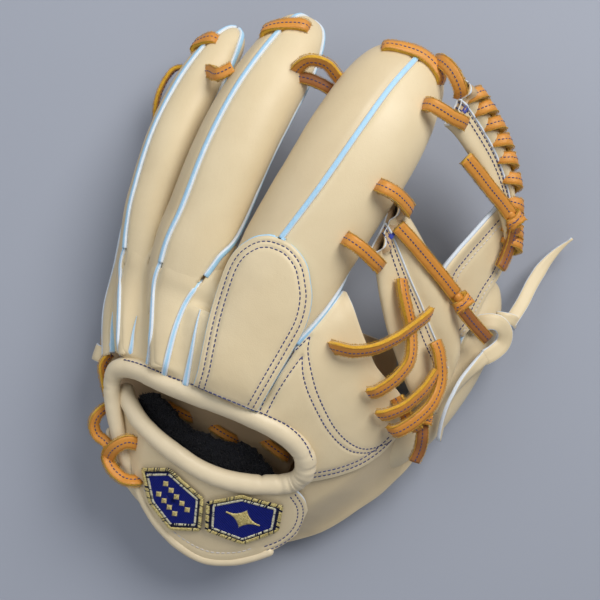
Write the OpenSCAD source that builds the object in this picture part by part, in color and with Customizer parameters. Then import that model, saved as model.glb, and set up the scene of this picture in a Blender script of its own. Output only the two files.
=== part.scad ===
// Baseball glove for the left hand, lying palm down with its back up.
// Heel toward -Y, fingertips toward +Y, thumb and web toward +X. Millimetres.

/* [Leather] */
// Thickness of one layer of shell leather
leather_t = 2.4; // [2:0.1:3]
// Thickness of the thin lining leather
lining_t = 1.4; // [1:0.1:1.6]
// Clearance between neighbouring layers
layer_gap = 0.3; // [0.2:0.1:0.5]
// Half thickness of a seam welt
welt_r = 1.15; // [0.8:0.05:1.3]

/* [Padded rolls] */
// Radius of the roll along the knuckle side of the wrist opening
upper_roll_r = 5.5; // [4:0.5:6]
// Radius of the roll along the strap side of the wrist opening
lower_roll_r = 5; // [4:0.5:5.5]
// Radius of the roll on the little finger side
side_roll_r = 4.2; // [3:0.2:4.6]

/* [Laces] */
// Width of a rawhide lace
lace_w = 6.5; // [5:0.5:7]
// Thickness of a rawhide lace
lace_t = 2.4; // [1.6:0.2:3]
// Width of the thumb strap
strap_w = 7; // [6:0.5:8]
// Thickness of the thumb strap
strap_t = 2; // [1.6:0.2:2.4]
// Whip stitches along the edge of the web
whip_count = 9; // [7:1:11]

/* [Web] */
// Thickness of the bars and the post of the web
web_t = 6; // [4:0.5:7]

/* [Hidden] */

cream = "#e3c9a0";
tan = "#c99b66";
lace_colour = "#d98a2b";
welt_colour = "#bfe0f2";
navy = "#1d2f86";
fleece_colour = "#15151a";

// Places the design frame so that the origin is under the middle of the box
origin_shift = [-2, 4.9, -2.18];

// ---- heights of the two main surfaces ----
crest_x = -12;
crest_z = 92;
palm_z = 54;
palm_low = 3;
// Underside of the palm: an arch over the pocket, coming down at the heel
function heel_fall(y, span, power = 2) = 1 - pow(max(0, -20 - y) / span, power);
function palm_at(x, y) =
    palm_low + (palm_z - palm_low) * (1 - pow(x / (x < 0 ? 104 : 100), 2)) * heel_fall(y, 118, 1.3);
// Outside of the back of the hand
function back_at(x, y) = heel_fall(y, 140) * crest_z *
    (x < crest_x ? 1 - pow((crest_x - x) / 105, 2.2) : 1 - pow((x - crest_x) / 125, 2));
// Outside of the wrist strap
function strap_at(x, y) = 62.5 + 0.5 * (y + 99) - 0.0045 * pow(x + 5, 2);
// Outside of the web between the index finger and the thumb
function web_at(x) = 77 - 0.55 * (x - 34) - 0.0018 * pow(x - 34, 2);

// ---- curves ----
function xyz(s) = [s[0], s[1], s[2]];
function unit(v) = v / norm(v);
function blend4(a, b, c, d, t) =
    0.5 * (2 * b + (c - a) * t + (2 * a - 5 * b + 4 * c - d) * t * t
        + (3 * b - a - 3 * c + d) * t * t * t);
function at(p, u) =
    let (n = len(p) - 1, i = min(max(floor(u), 0), n - 1))
    blend4(p[max(i - 1, 0)], p[i], p[i + 1], p[min(i + 2, n)], u - i);
function along(p, count) = [for (k = [0 : count]) at(p, k * (len(p) - 1) / count)];
function heading(p, u) =
    unit(xyz(at(p, min(u + 0.05, len(p) - 1))) - xyz(at(p, max(u - 0.05, 0))));
// Sideways and upward unit vectors of a finger's section, rolled by an angle
function section_axes(d, roll) =
    let (s = unit(cross(d, [0, 0, 1])), u = cross(s, d))
    [s * cos(roll) + u * sin(roll), u * cos(roll) - s * sin(roll)];
// A point on a finger: u along it, a round it from its +X side, lift off its surface
function on_finger(p, u, a, lift) =
    let (s = at(p, u), f = section_axes(heading(p, u), s[5]))
    xyz(s) + f[0] * max(0.4, s[3] + lift) * cos(a) + f[1] * max(0.3, s[4] + lift) * sin(a);

// ---- solids made of rows of points ----
function quad(a, b, c, d) = [[a, b, c], [b, d, c]];
// Rows of points above and below make a curved sheet
module sheet(top, bottom) {
    n = len(top);
    m = len(top[0]);
    r = 2 * m;
    points = [for (k = [0 : n - 1]) each concat(top[k], [for (i = [m - 1 : -1 : 0]) bottom[k][i]])];
    sides = [for (k = [0 : n - 2], i = [0 : r - 1])
        each quad(k * r + i, k * r + (i + 1) % r, (k + 1) * r + i, (k + 1) * r + (i + 1) % r)];
    last = (n - 1) * r;
    ends = [for (i = [0 : m - 2]) each [
        [i, r - 1 - i, r - 2 - i], [i, r - 2 - i, i + 1],
        [last + i, last + r - 2 - i, last + r - 1 - i], [last + i, last + i + 1, last + r - 2 - i]]];
    polyhedron(points, concat(sides, ends));
}
// Closed rings of points, each joined to the next, closed at both ends
module rings(list) {
    n = len(list);
    m = len(list[0]);
    sides = [for (k = [0 : n - 2], i = [0 : m - 1])
        each quad(k * m + i, k * m + (i + 1) % m, (k + 1) * m + i, (k + 1) * m + (i + 1) % m)];
    last = (n - 1) * m;
    ends = [for (i = [1 : m - 2]) each [[0, i + 1, i], [last, last + i, last + i + 1]]];
    polyhedron([for (r = list) each r], concat(sides, ends));
}
// A round or flat section carried along a route
module swept(route, count, half_w, half_t, up = [0, 0, 1], sides = 8) {
    c = along(route, count);
    n = len(c) - 1;
    d = [for (k = [0 : n]) unit(c[min(k + 1, n)] - c[max(k - 1, 0)])];
    ups = [for (k = 0, v = unit(up - d[0] * (up * d[0])); k <= n;
        k = k + 1, v = k <= n ? unit(v - d[k] * (v * d[k])) : v) v];
    rings([for (k = [0 : n]) [for (i = [0 : sides - 1])
        let (a = (i + 0.5) * 360 / sides)
        c[k] + cross(d[k], ups[k]) * half_w * cos(a) + ups[k] * half_t * sin(a)]]);
}
module round_tube(route, count, r, sides = 8) swept(route, count, r, r, [0, 0, 1], sides);
module lace(route, count, up = [0, 0, 1]) swept(route, count, lace_w / 2, lace_t / 2, up);
module placed(colour) color(colour) translate(origin_shift) children();

// ---- fingers ----
// Each station is x, y, z, half width, half thickness, roll, and the two seam angles
index_line = [
    [-17, -55, 77, 20, 8, 3, 30, 160], [-15, -38, 79, 24, 11, 3, 38, 160],
    [-12, -18, 75, 27, 17, 2, 44, 145], [-11, 3, 77, 27, 17, 1, 20, 122],
    [-10, 23, 78, 27, 17, 0, 2, 110], [-5, 52, 79, 27.5, 18, -3, -5, 105],
    [0, 82, 77, 28, 18, -5, -5, 102], [4, 107, 71, 26, 17, -6, -5, 99],
    [8, 124, 64, 21, 14, -6, -5, 97], [10, 133, 59, 13, 9, -6, 0, 96], [11, 137, 57, 3, 2, -6, 0, 96]];
middle_line = [
    [-51, -55, 73, 6, 4, 20, 10, 170], [-56, -38, 71, 9, 6, 21, 15, 160],
    [-57, -18, 63, 19, 13, 24, 45, 118], [-59, 3, 64, 20.5, 14.5, 24, 20, 112],
    [-59, 20, 64, 20.5, 15.5, 24, 5, 107], [-59, 52, 65, 20.5, 16, 24, -5, 107],
    [-57, 80, 62, 20, 16, 24, -5, 107], [-54, 104, 56, 18.5, 14.5, 22, -5, 106],
    [-51.5, 121, 50, 15.5, 12, 20, 0, 105], [-50, 131, 46, 10.5, 8, 20, 5, 105],
    [-49.5, 135, 44.5, 3, 2, 20, 5, 105]];
ring_line = [
    [-71, -57, 60, 4, 3.5, 40, 10, 170], [-78, -38, 54, 6.5, 5.5, 43, 15, 150],
    [-81.5, -18, 43, 14.5, 11, 48, 34, 96], [-87, 3, 43, 14.5, 11.5, 48, 15, 94],
    [-90, 20, 43.5, 14.8, 12, 49, 5, 93], [-92, 50, 43.5, 15, 12.5, 50, 5, 93],
    [-91, 78, 40.5, 14.8, 12, 48, 5, 93], [-88, 98, 36.5, 13.5, 11, 46, 5, 93],
    [-85.5, 110, 33.5, 10.5, 8.5, 44, 5, 93], [-84.5, 117, 31.5, 6.5, 5, 44, 5, 93],
    [-84, 120, 31, 2, 1.6, 44, 5, 93]];
pinky_line = [
    [-80, -62, 44, 5, 4, 58, 15, 150], [-88, -42, 31, 7, 6, 70, 10, 125],
    [-91, -18, 13.5, 10.5, 9.5, 78, 8, 105], [-94, 2, 13.4, 10.5, 10, 78, 8, 100],
    [-95, 20, 13.4, 10.5, 10, 79, 8, 98], [-96, 45, 13.4, 10.5, 10, 80, 8, 98],
    [-95, 68, 12.9, 10, 9.5, 80, 8, 98], [-93, 84, 11.5, 8, 7.5, 80, 8, 98],
    [-92, 92, 10.5, 5, 4.5, 80, 8, 98], [-92, 95, 10.5, 2, 1.6, 80, 8, 98]];
thumb_line = [
    [70, -60, 28, 14, 11, -38, 12, 166], [78, -44, 25, 15, 12, -42, 8, 170],
    [87, -22, 21, 15, 12, -46, 8, 170], [93, 5, 17, 14.5, 11.5, -50, 8, 170],
    [93, 28, 15, 13, 11, -52, 8, 170], [91, 42, 13.5, 9.5, 8.5, -52, 8, 170],
    [90, 48, 12.5, 5, 4.5, -52, 8, 170], [90, 51, 12.5, 2, 1.6, -52, 8, 170]];
// Station at which the closed stall of a finger starts, after its reach over the hand
stall_start = 2;
// Half the angle of the slot that a welt lies in
function slot_angle(s, a) =
    min(25, (welt_r + 0.4) * 57.3 / max(1, norm([s[3] * sin(a), s[4] * cos(a)])));

// Rows of points on a finger, from one seam angle to another, at a height off its skin
function finger_rows(p, u0, u1, rows, cols, from, to, turn, lift) =
    [for (k = [0 : rows]) let (u = u0 + (u1 - u0) * k / rows, s = at(p, u),
        a0 = s[from] + slot_angle(s, s[from]), a1 = s[to] + turn - slot_angle(s, s[to]))
        [for (i = [0 : cols]) on_finger(p, u, a0 + (a1 - a0) * i / cols, lift)]];
module back_strip(p, rows = 14) {
    n = len(p) - 1;
    sheet(finger_rows(p, 0, n, rows, 6, 6, 7, 0, 0),
        finger_rows(p, 0, n, rows, 6, 6, 7, 0, -leather_t));
}
module front_strip(p, start = stall_start, rows = 11) {
    n = len(p) - 1;
    sheet(finger_rows(p, start, n, rows, 9, 7, 6, 360, 0),
        finger_rows(p, start, n, rows, 9, 7, 6, 360, -leather_t));
}
// Stall for one finger: a lining tube, closed at its tip, that the finger slips into
module stall(p, start = stall_start, rows = 9) {
    n = len(p) - 3;
    outside = -leather_t - 3 * layer_gap;
    inside = outside - lining_t;
    stops = [for (k = [0 : rows]) start + (n - start) * k / rows];
    loops = concat(
        [for (k = [rows - 1 : -1 : 0]) [stops[k], inside]],
        [for (k = [0 : rows]) [stops[k], outside]]);
    rings([for (s = loops) [for (i = [0 : 11]) on_finger(p, s[0], 30 * i, s[1])]]);
}
module welts(p, u_left = 0, u_right = 0, count = 18) {
    n = len(p) - 1.2;
    for (side = [[7, u_left], [6, u_right]])
        round_tube([for (k = [0 : count]) let (u = side[1] + (n - side[1]) * k / count)
            on_finger(p, u, at(p, u)[side[0]], -0.5)], count, welt_r, 6);
}

module index_back() placed(cream) back_strip(index_line);
module index_front() placed(cream) front_strip(index_line);
module index_lining() placed(tan) stall(index_line);
module index_welts() placed(welt_colour) welts(index_line);
module middle_back() placed(cream) back_strip(middle_line);
module middle_front() placed(cream) front_strip(middle_line);
module middle_lining() placed(tan) stall(middle_line);
module middle_welts() placed(welt_colour) welts(middle_line);
module ring_back() placed(cream) back_strip(ring_line);
module ring_front() placed(cream) front_strip(ring_line);
module ring_lining() placed(tan) stall(ring_line);
module ring_welts() placed(welt_colour) welts(ring_line);
module pinky_back() placed(cream) back_strip(pinky_line);
module pinky_front() placed(cream) front_strip(pinky_line);
module pinky_lining() placed(tan) stall(pinky_line);
module pinky_welts() placed(welt_colour) welts(pinky_line);
module thumb_back() placed(cream) back_strip(thumb_line, 10);
module thumb_front() placed(cream) front_strip(thumb_line, 0, 10);
module thumb_lining() placed(tan) stall(thumb_line, 0, 6);
module thumb_welts() placed(welt_colour) welts(thumb_line, 0, 0, 12);

// ---- sheets laid out by their edges ----
// edges: rows of y, smaller x, larger x; height(x, y) gives the upper face
function grid_rows(edges, cols, z) =
    [for (e = edges) [for (i = [0 : cols])
        let (x = e[2] + (e[1] - e[2]) * i / cols) [x, e[0], z(x, e[0])]]];
module laid_sheet(edges, cols, z, t)
    sheet(grid_rows(edges, cols, z), grid_rows(edges, cols, function(x, y) z(x, y) - t));
// columns: rows of x, smaller y, larger y
function column_rows(edges, rows, z) =
    [for (e = edges) [for (i = [0 : rows])
        let (y = e[1] + (e[2] - e[1]) * i / rows) [e[0], y, z(e[0], y)]]];
module laid_columns(edges, rows, z, t)
    sheet(column_rows(edges, rows, z), column_rows(edges, rows, function(x, y) z(x, y) - t));

palm_edges = [[-136, -34, 16], [-128, -50, 27], [-116, -60, 31], [-104, -68, 32], [-92, -74, 32],
    [-74, -74.5, 32], [-56, -74.5, 32], [-38, -74.5, 32], [-22, -72, 32]];
thumb_palm_edges = [[-113, 52, 54], [-104, 51, 59], [-95, 49.5, 64], [-80, 46.5, 68], [-66, 44, 60],
    [-57, 43, 56], [-46, 42, 58], [-32, 41, 60.5], [-16, 40.5, 60.5], [-4, 40.5, 56]];
pinky_palm_edges = [[-84, -80.5, -79.5], [-74, -86, -79.5], [-60, -91, -79.5], [-46, -95, -79.5],
    [-34, -97, -79.5], [-24, -97, -80]];
felt_edges = [[-80, -66, 28], [-65, -70, 28], [-50, -70, 28], [-36, -70, 28], [-24, -66, 28]];
lining_edges = [[-126, -48, 16], [-112, -64, 28], [-96, -70, 28], [-76, -72, 28], [-56, -72, 28],
    [-38, -72, 28], [-24, -68, 28]];
heel_pinky_edges = [[-120, -52, -30], [-110, -66, -26], [-98, -70, -24], [-86, -66, -28]];
heel_thumb_edges = [[-120, -6, 16], [-110, -12, 26], [-98, -12, 27], [-86, -6, 24]];
felt_t = 2.2;
felt_low = leather_t + 1.6 + 3 * layer_gap;
module palm_shell() placed(cream)
    laid_sheet(palm_edges, 10, function(x, y) palm_at(x, y) + leather_t + 1.6, leather_t + 1.6);
module thumb_palm() placed(cream)
    laid_sheet(thumb_palm_edges, 5, function(x, y) palm_at(x, y) + leather_t + 1.6, leather_t + 1.6);
module pinky_palm() placed(cream)
    laid_sheet(pinky_palm_edges, 3, function(x, y) palm_at(x, y) + leather_t + 1.6, leather_t + 1.6);
module palm_felt() placed("#8f8f94")
    laid_sheet(felt_edges, 8, function(x, y) palm_at(x, y) + felt_low + felt_t, felt_t);
module heel_pad_pinky() placed("#8f8f94")
    laid_sheet(heel_pinky_edges, 4, function(x, y) palm_at(x, y) + felt_low + felt_t, felt_t);
module heel_pad_thumb() placed("#8f8f94")
    laid_sheet(heel_thumb_edges, 4, function(x, y) palm_at(x, y) + felt_low + felt_t, felt_t);
module palm_lining() placed(tan) laid_sheet(lining_edges, 9,
    function(x, y) palm_at(x, y) + felt_low + felt_t + 3 * layer_gap + lining_t, lining_t);

back_lining_edges = [[-56, -66, 24], [-46, -68, 26], [-34, -68, 28], [-22, -66, 28]];
module back_lining() placed(tan)
    laid_sheet(back_lining_edges, 9, function(x, y) back_at(x, y) - 11, lining_t);

// The forks between the fingers, over the back of the hand
fork_index = [[-56, -44, -40], [-46, -46, -42], [-34, -45.5, -42], [-26, -43, -41]];
fork_middle = [[-57, -65.5, -58.5], [-46, -69, -63], [-36, -71, -66], [-28, -70, -67]];
module fourchettes() placed(cream) for (edges = [fork_index, fork_middle])
    laid_sheet(edges, 3, function(x, y) back_at(x, y) - 3, leather_t);

// The pad sewn over the base of the index finger: station, and its two edges in x
pad_edges = [[0.15, -32, 1], [0.7, -35, 3], [1.3, -37, 5.5], [2, -38.5, 6.5], [2.8, -38, 4.5],
    [3.3, -36, 0], [3.7, -31, -6], [3.95, -24, -14]];
module index_pad() {
    function row(e, lift) = let (s = at(index_line, e[0]))
        [for (i = [0 : 8]) let (x = e[2] + (e[1] - e[2]) * i / 8)
            on_finger(index_line, e[0], acos((x - s[0]) / (s[3] + lift)) - s[5], lift)];
    placed(cream) sheet([for (e = pad_edges) row(e, 3.4)], [for (e = pad_edges) row(e, 1)]);
}

crotch_edges = [[-55, 6, 33], [-45, 8, 33], [-33, 11, 33], [-21, 13, 33], [-10, 15, 33], [0, 19, 31],
    [8, 20, 26], [14, 20, 22]];
module crotch_panel() placed(cream)
    laid_sheet(crotch_edges, 5, function(x, y) back_at(x, y) - 1, leather_t);
thumb_panel_edges = [[-80, 38, 43], [-70, 38, 54], [-58, 38, 66], [-45, 38, 68], [-32, 38, 66],
    [-19, 38, 57], [-9, 38, 46], [-3, 38, 41]];
module thumb_panel() placed(cream)
    laid_sheet(thumb_panel_edges, 5, function(x, y) back_at(x, y) - 1, leather_t);
wrist_panel_edges = [[-116, 38, 42], [-105, 38, 52], [-92, 38, 61], [-80, 38, 69], [-70, 44, 74],
    [-62, 52, 76]];
module wrist_panel() placed(cream)
    laid_sheet(wrist_panel_edges, 5, function(x, y) back_at(x, y) - 6, leather_t);

// ---- wrist opening and strap ----
upper_roll_route = [[-74, -66, 54], [-64, -64.5, 61], [-48, -64, 69], [-28, -63, 75], [-4, -62.5, 78],
    [14, -64, 77], [26, -70, 72], [31, -79, 66]];
lower_roll_route = [[25, -89, 60], [17, -94, 60], [6, -98, 61], [-13, -99, 61], [-36, -93, 58],
    [-50, -86, 54], [-57, -81, 52]];
side_roll_route = [[-76, -74, 50], [-71, -84, 49], [-63, -96, 47], [-55, -107, 43], [-48, -118, 38]];
strap_edges = [[-44, -118, -98], [-36, -126, -100], [-26, -134, -104], [-12, -141, -107],
    [4, -143, -106], [18, -137, -101], [27, -127, -96], [31, -118, -94]];
patch_left_edges = [[-40, -120, -106.5], [-30, -129, -106.5], [-24, -132, -108], [-8, -128, -112]];
patch_right_edges = [[-5, -129, -112], [6, -133, -109], [13, -133, -107], [26, -124, -105]];
fleece_edges = [[-50, -100, -88], [-40, -116, -90], [-26, -126, -92], [-10, -132, -92], [6, -132, -92],
    [18, -126, -90], [25, -114, -88]];
module upper_roll() placed(cream) round_tube(upper_roll_route, 20, upper_roll_r, 10);
module lower_roll() placed(cream) round_tube(lower_roll_route, 20, lower_roll_r, 10);
module side_roll() placed(cream) round_tube(side_roll_route, 14, side_roll_r, 8);
module wrist_strap() placed(cream)
    laid_columns(strap_edges, 4, function(x, y) strap_at(x, y), leather_t);
module strap_binding() placed(cream)
    round_tube([for (e = strap_edges) [e[0], e[1] - 4, strap_at(e[0], e[1] - 3) - 1.5]], 16, 2.3, 8);
module strap_fleece() placed(fleece_colour)
    laid_columns(fleece_edges, 6, function(x, y)
        strap_at(x, y) - 3.4 - 7 * min(1, max(0, (y + 112) / 12)), 5);
module patch_left() placed(navy)
    laid_columns(patch_left_edges, 2, function(x, y) strap_at(x, y) + 2.1, 1.5);
module patch_right() placed(navy)
    laid_columns(patch_right_edges, 2, function(x, y) strap_at(x, y) + 2.1, 1.5);

// ---- web ----
top_bar_edges = [[35, 104, 119], [44, 101, 122.5], [54, 96, 119.5], [64, 90, 113], [73, 83, 104],
    [82, 74, 92], [91, 62, 74]];
bottom_bar_edges = [[26, 34, 62], [36, 14, 56.5], [46, 1, 49.5], [56, -10, 42], [66, -21, 33],
    [76, -29, 23.5], [84, -31, 13], [88, -28, 4]];
post_edges = [[20, 74, 86], [30, 65, 88], [40, 61, 90], [52, 64, 92], [64, 68, 93], [74, 72, 90]];
module web_top_bar() placed(cream) laid_columns(top_bar_edges, 3, function(x, y) web_at(x), web_t);
module web_bottom_bar() placed(cream)
    laid_columns(bottom_bar_edges, 4, function(x, y) web_at(x), web_t);
module web_post() placed(cream)
    laid_sheet(post_edges, 3, function(x, y) web_at(x) - web_t - 0.6, web_t - 2);
module web_piping() placed(welt_colour)
    round_tube([[59, 40, 56], [61.5, 50, 55], [65, 61, 53], [68.5, 73, 51]], 8, 1.6, 6);
module web_edge_lace() placed(lace_colour)
    for (k = [0 : whip_count - 1]) {
        u = 1 + k * 4.4 / (whip_count - 1);
        e = at(top_bar_edges, u);
        z = web_at(e[0]);
        ahead = at(top_bar_edges, u + 0.1);
        d = unit([1, (ahead[2] - e[2]) / (ahead[0] - e[0]), -0.7]);
        out = unit(cross(d, [0, 0, -1]));
        lace([[e[0], e[2], z + 2] - out * 7, [e[0], e[2], z + 2.8] - out * 1 + d,
            [e[0], e[2], z - 1] + out * 3 + d * 2, [e[0], e[2], z - 6] + out * 2.6 + d * 3,
            [e[0], e[2], z - 8.6] - out * 3 + d * 4], 8, [0, 0, 1]);
    }

// ---- laces ----
// Loops that tie the index finger to the web: the finger's half, then the web's half
index_lace_routes = [
    [[21, 110, 86.5], [26, 109, 84.2], [30, 108, 82], [32.4, 107.5, 80.5]],
    [[15, 64.5, 95.2], [19, 64.2, 92.5], [22, 64, 90], [24, 63.8, 88]],
    [[10, 37, 94.6], [14, 37, 92], [18, 36.5, 89], [21.5, 36, 86.2]],
    [[26, 130.3, 71.6], [28.5, 128.5, 73.5], [31, 126, 75]]];
web_lace_routes = [
    [[33.4, 107.2, 80.2], [37, 107, 79], [41, 107, 76.5]],
    [[25, 63, 87], [28.5, 61, 84.8], [32, 59, 81.6]],
    [[22.5, 35.5, 85.6], [26, 34.5, 84.4], [30, 33, 81]],
    [[33, 122.5, 79.5], [37, 119, 79.2], [41, 115.5, 76]]];
module index_lace_ends() placed(lace_colour) for (r = index_lace_routes) lace(r, 6);
module web_lace_ends() placed(lace_colour) for (r = web_lace_routes) lace(r, 4);

// Laces across the face of the web, with their knots and short tails
function on_web(x, y, lift = 1.9) = [x, y, web_at(x) + lift];
web_tie_routes = [
    [on_web(49, 99), on_web(60, 93.5), on_web(71, 87.5), on_web(79.5, 82.5)],
    [on_web(37, 50), on_web(48, 43.5), on_web(60, 36.5), on_web(69.5, 31.5)]];
knot_places = [on_web(85.5, 79, 5), on_web(74.5, 28.5, 5), [82, -34, 52]];
tail_routes = [
    [[89.5, 74, 44], [94, 66, 41], [97, 57, 39]],
    [[79.5, 26, 51.5], [88, 22, 47], [97, 18, 43]],
    [[84.5, -39.5, 49], [87, -46, 47], [88, -54, 44]]];
module web_ties() placed(lace_colour) {
    for (r = web_tie_routes) lace(r, 8);
    for (r = tail_routes) lace(r, 5);
}
module web_knots() placed(lace_colour) for (p = knot_places)
    translate(p) rotate([20, 28, -30]) scale([1.25, 1, 0.8]) sphere(r = 4.2, $fn = 12);

crotch_routes = [
    [[36, -13.5, 84.5], [47, -6, 78.5], [56, 5, 68.5], [61, 15, 63]],
    [[48, -29, 73.6], [57, -17, 71], [60, -6, 68], [54, 8, 68.3], [45, 24, 73.2]],
    [[57, -37, 66], [66, -30, 62], [73, -18, 58], [76, -5, 53]],
    [[59, -47, 63.5], [69, -38, 61], [78, -24, 55], [79, -10, 51.5], [72, 3, 56.5]]];
crotch_stub = [[20, -18, 88.2], [27, -16.5, 86.3], [34, -14.5, 84.8]];
module crotch_laces() placed(lace_colour) for (r = crotch_routes) lace(r, 9);

module fingertip_laces() placed(lace_colour) {
    lace([for (s = [[6.9, 118], [7.2, 98], [7.5, 78]]) on_finger(ring_line, s[0], s[1], 3)], 6);
    lace([for (s = [[7.5, 128], [7.9, 106], [8.2, 80]]) on_finger(middle_line, s[0], s[1], 3)], 6);
    lace([for (s = [[7.8, 160], [8.2, 132], [8.4, 100], [8.4, 68], [8.3, 48]])
        on_finger(index_line, s[0], s[1], 3.2)], 10);
    lace(crotch_stub, 4);
}
module finger_ties() placed(lace_colour) {
    lace([on_finger(ring_line, 6.4, 36, 2.2), [-80, 89, 62.5], on_finger(middle_line, 6.45, 140, 2.3)], 5);
    lace([on_finger(middle_line, 7.0, 50, 2.2), [-37, 107, 76], [-27, 110, 82],
        on_finger(index_line, 7.2, 143, 2.5)], 8);
}

wrist_lace_routes = [
    [[-86, -70, 46], [-83, -82, 45], [-76, -95, 43], [-68, -107, 39.5], [-60, -118, 35]],
    [[-72, -103, 46.5], [-64, -101, 54], [-55, -98, 55], [-50, -94, 52]],
    [[-66, -114, 41], [-57, -113, 47.8], [-49, -110, 49.5]]];
module wrist_lace() placed(lace_colour) for (r = wrist_lace_routes) lace(r, 8);
module pinky_loop_tab() placed(tan)
    swept([[-87, -64, 41], [-93, -63.5, 39], [-98, -63, 35]], 4, 5, 1.5);

// ---- thumb strap, with its two loose ends ----
strap_knot_route = [[96, 27, 34.5], [103, 27, 31], [107.5, 20, 29], [104, 14, 32.5], [98, 19, 36]];
strap_long_route = [[107, 30, 29], [110, 42, 25], [112, 55, 20], [115, 67, 16], [119, 77, 14],
    [124, 86, 14]];
strap_short_route = [[101, 9, 34.5], [97, 1, 38.5], [93, -9, 41], [91, -20, 42.5], [92, -31, 40],
    [95, -41, 34]];
module strap_run(route, count) swept(route, count, strap_w / 2, strap_t / 2);
module thumb_strap_knot() placed(cream) strap_run(strap_knot_route, 10);
module thumb_strap_long() placed(cream) strap_run(strap_long_route, 10);
module thumb_strap_short() placed(cream) strap_run(strap_short_route, 10);

palm_shell();
thumb_palm();
pinky_palm();
palm_felt();
palm_lining();
heel_pad_pinky();
heel_pad_thumb();
back_lining();
index_back();
index_front();
index_lining();
index_welts();
middle_back();
middle_front();
middle_lining();
middle_welts();
ring_back();
ring_front();
ring_lining();
ring_welts();
pinky_back();
pinky_front();
pinky_lining();
pinky_welts();
thumb_back();
thumb_front();
thumb_lining();
thumb_welts();
fourchettes();
index_pad();
crotch_panel();
thumb_panel();
wrist_panel();
upper_roll();
lower_roll();
side_roll();
wrist_strap();
strap_binding();
strap_fleece();
patch_left();
patch_right();
web_top_bar();
web_bottom_bar();
web_post();
web_piping();
web_edge_lace();
index_lace_ends();
web_lace_ends();
web_ties();
web_knots();
crotch_laces();
fingertip_laces();
finger_ties();
wrist_lace();
pinky_loop_tab();
thumb_strap_knot();
thumb_strap_long();
thumb_strap_short();
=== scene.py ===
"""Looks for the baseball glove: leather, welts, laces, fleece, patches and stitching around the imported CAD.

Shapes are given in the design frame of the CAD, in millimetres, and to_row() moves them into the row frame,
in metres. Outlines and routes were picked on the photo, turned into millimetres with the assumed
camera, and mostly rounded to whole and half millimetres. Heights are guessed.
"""
import math
import random

import bpy
import numpy as np
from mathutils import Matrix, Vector, noise
from mathutils.bvhtree import BVHTree


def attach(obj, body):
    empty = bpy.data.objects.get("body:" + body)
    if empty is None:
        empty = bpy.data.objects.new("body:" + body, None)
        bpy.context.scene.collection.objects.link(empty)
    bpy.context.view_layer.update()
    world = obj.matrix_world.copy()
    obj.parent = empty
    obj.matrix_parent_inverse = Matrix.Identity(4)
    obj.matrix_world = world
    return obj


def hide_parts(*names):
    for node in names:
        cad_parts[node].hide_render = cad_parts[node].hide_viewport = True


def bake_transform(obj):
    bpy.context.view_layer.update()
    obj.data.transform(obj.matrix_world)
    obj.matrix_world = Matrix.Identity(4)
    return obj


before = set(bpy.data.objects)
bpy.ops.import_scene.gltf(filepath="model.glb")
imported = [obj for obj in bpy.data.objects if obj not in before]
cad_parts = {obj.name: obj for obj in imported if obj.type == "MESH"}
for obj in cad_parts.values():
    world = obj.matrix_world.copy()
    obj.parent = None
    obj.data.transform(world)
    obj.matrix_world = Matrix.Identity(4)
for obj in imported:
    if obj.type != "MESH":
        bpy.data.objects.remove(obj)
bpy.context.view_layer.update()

SHIFT = np.array([-2.0, 4.9, -2.18])
MM = 0.001
RNG = random.Random(7)


def to_row(points):
    """Design millimetres to row-frame metres."""
    return (np.asarray(points, float) + SHIFT) * MM


# ---------------------------------------------------------------- camera, floor and light
# The camera's height, lens and turn are assumed; they were chosen so that the outline fits the photo's.
CAMERA_HEIGHT, CAMERA_LENS, CAMERA_TURN = 620, 67.2, 22
FLOOR_HALF = 2.5
GLOVE_MIDDLE = Vector((0, 0, 0.04))


def make_stage():
    cam_data = bpy.data.cameras.new("camera")
    cam_data.lens = CAMERA_LENS
    cam_data.sensor_width = 36.0
    cam = bpy.data.objects.new("camera", cam_data)
    cam.location = to_row((0, 0, CAMERA_HEIGHT))
    cam.rotation_euler = (0, 0, math.radians(CAMERA_TURN))
    bpy.context.scene.collection.objects.link(cam)
    bpy.context.scene.camera = cam

    mesh = bpy.data.meshes.new("floor")
    r = FLOOR_HALF
    mesh.from_pydata([(-r, -r, 0), (r, -r, 0), (r, r, 0), (-r, r, 0)], [], [(0, 1, 2, 3)])
    floor = bpy.data.objects.new("floor", mesh)
    bpy.context.scene.collection.objects.link(floor)
    m = bpy.data.materials.new("floor_paper")
    m.use_nodes = True
    b = m.node_tree.nodes["Principled BSDF"]
    b.inputs["Base Color"].default_value = (0.36, 0.385, 0.45, 1)
    b.inputs["Roughness"].default_value = 0.9
    mesh.materials.append(m)

    for name, place, size, power, colour in (
        ("key", (0.28, 0.80, 0.90), 0.75, 12.0, (1.0, 0.985, 0.96)),
        ("fill", (-0.7, 0.05, 0.8), 0.9, 2.9, (0.93, 0.96, 1.0)),
        ("back", (0.15, -0.85, 0.7), 0.8, 0.9, (0.97, 0.98, 1.0)),
    ):
        light = bpy.data.lights.new(name, "AREA")
        light.shape = "DISK"
        light.size = size
        light.energy = power
        light.color = colour
        lamp = bpy.data.objects.new(name, light)
        lamp.location = place
        lamp.rotation_euler = (Vector(place) - GLOVE_MIDDLE).to_track_quat("Z", "Y").to_euler()
        bpy.context.scene.collection.objects.link(lamp)
    world = bpy.data.worlds.new("soft_sky")
    world.use_nodes = True
    back = world.node_tree.nodes["Background"]
    back.inputs["Color"].default_value = (0.86, 0.9, 0.97, 1)
    back.inputs["Strength"].default_value = 0.24
    bpy.context.scene.world = world
    bpy.context.scene.view_settings.view_transform = "Standard"


make_stage()


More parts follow.
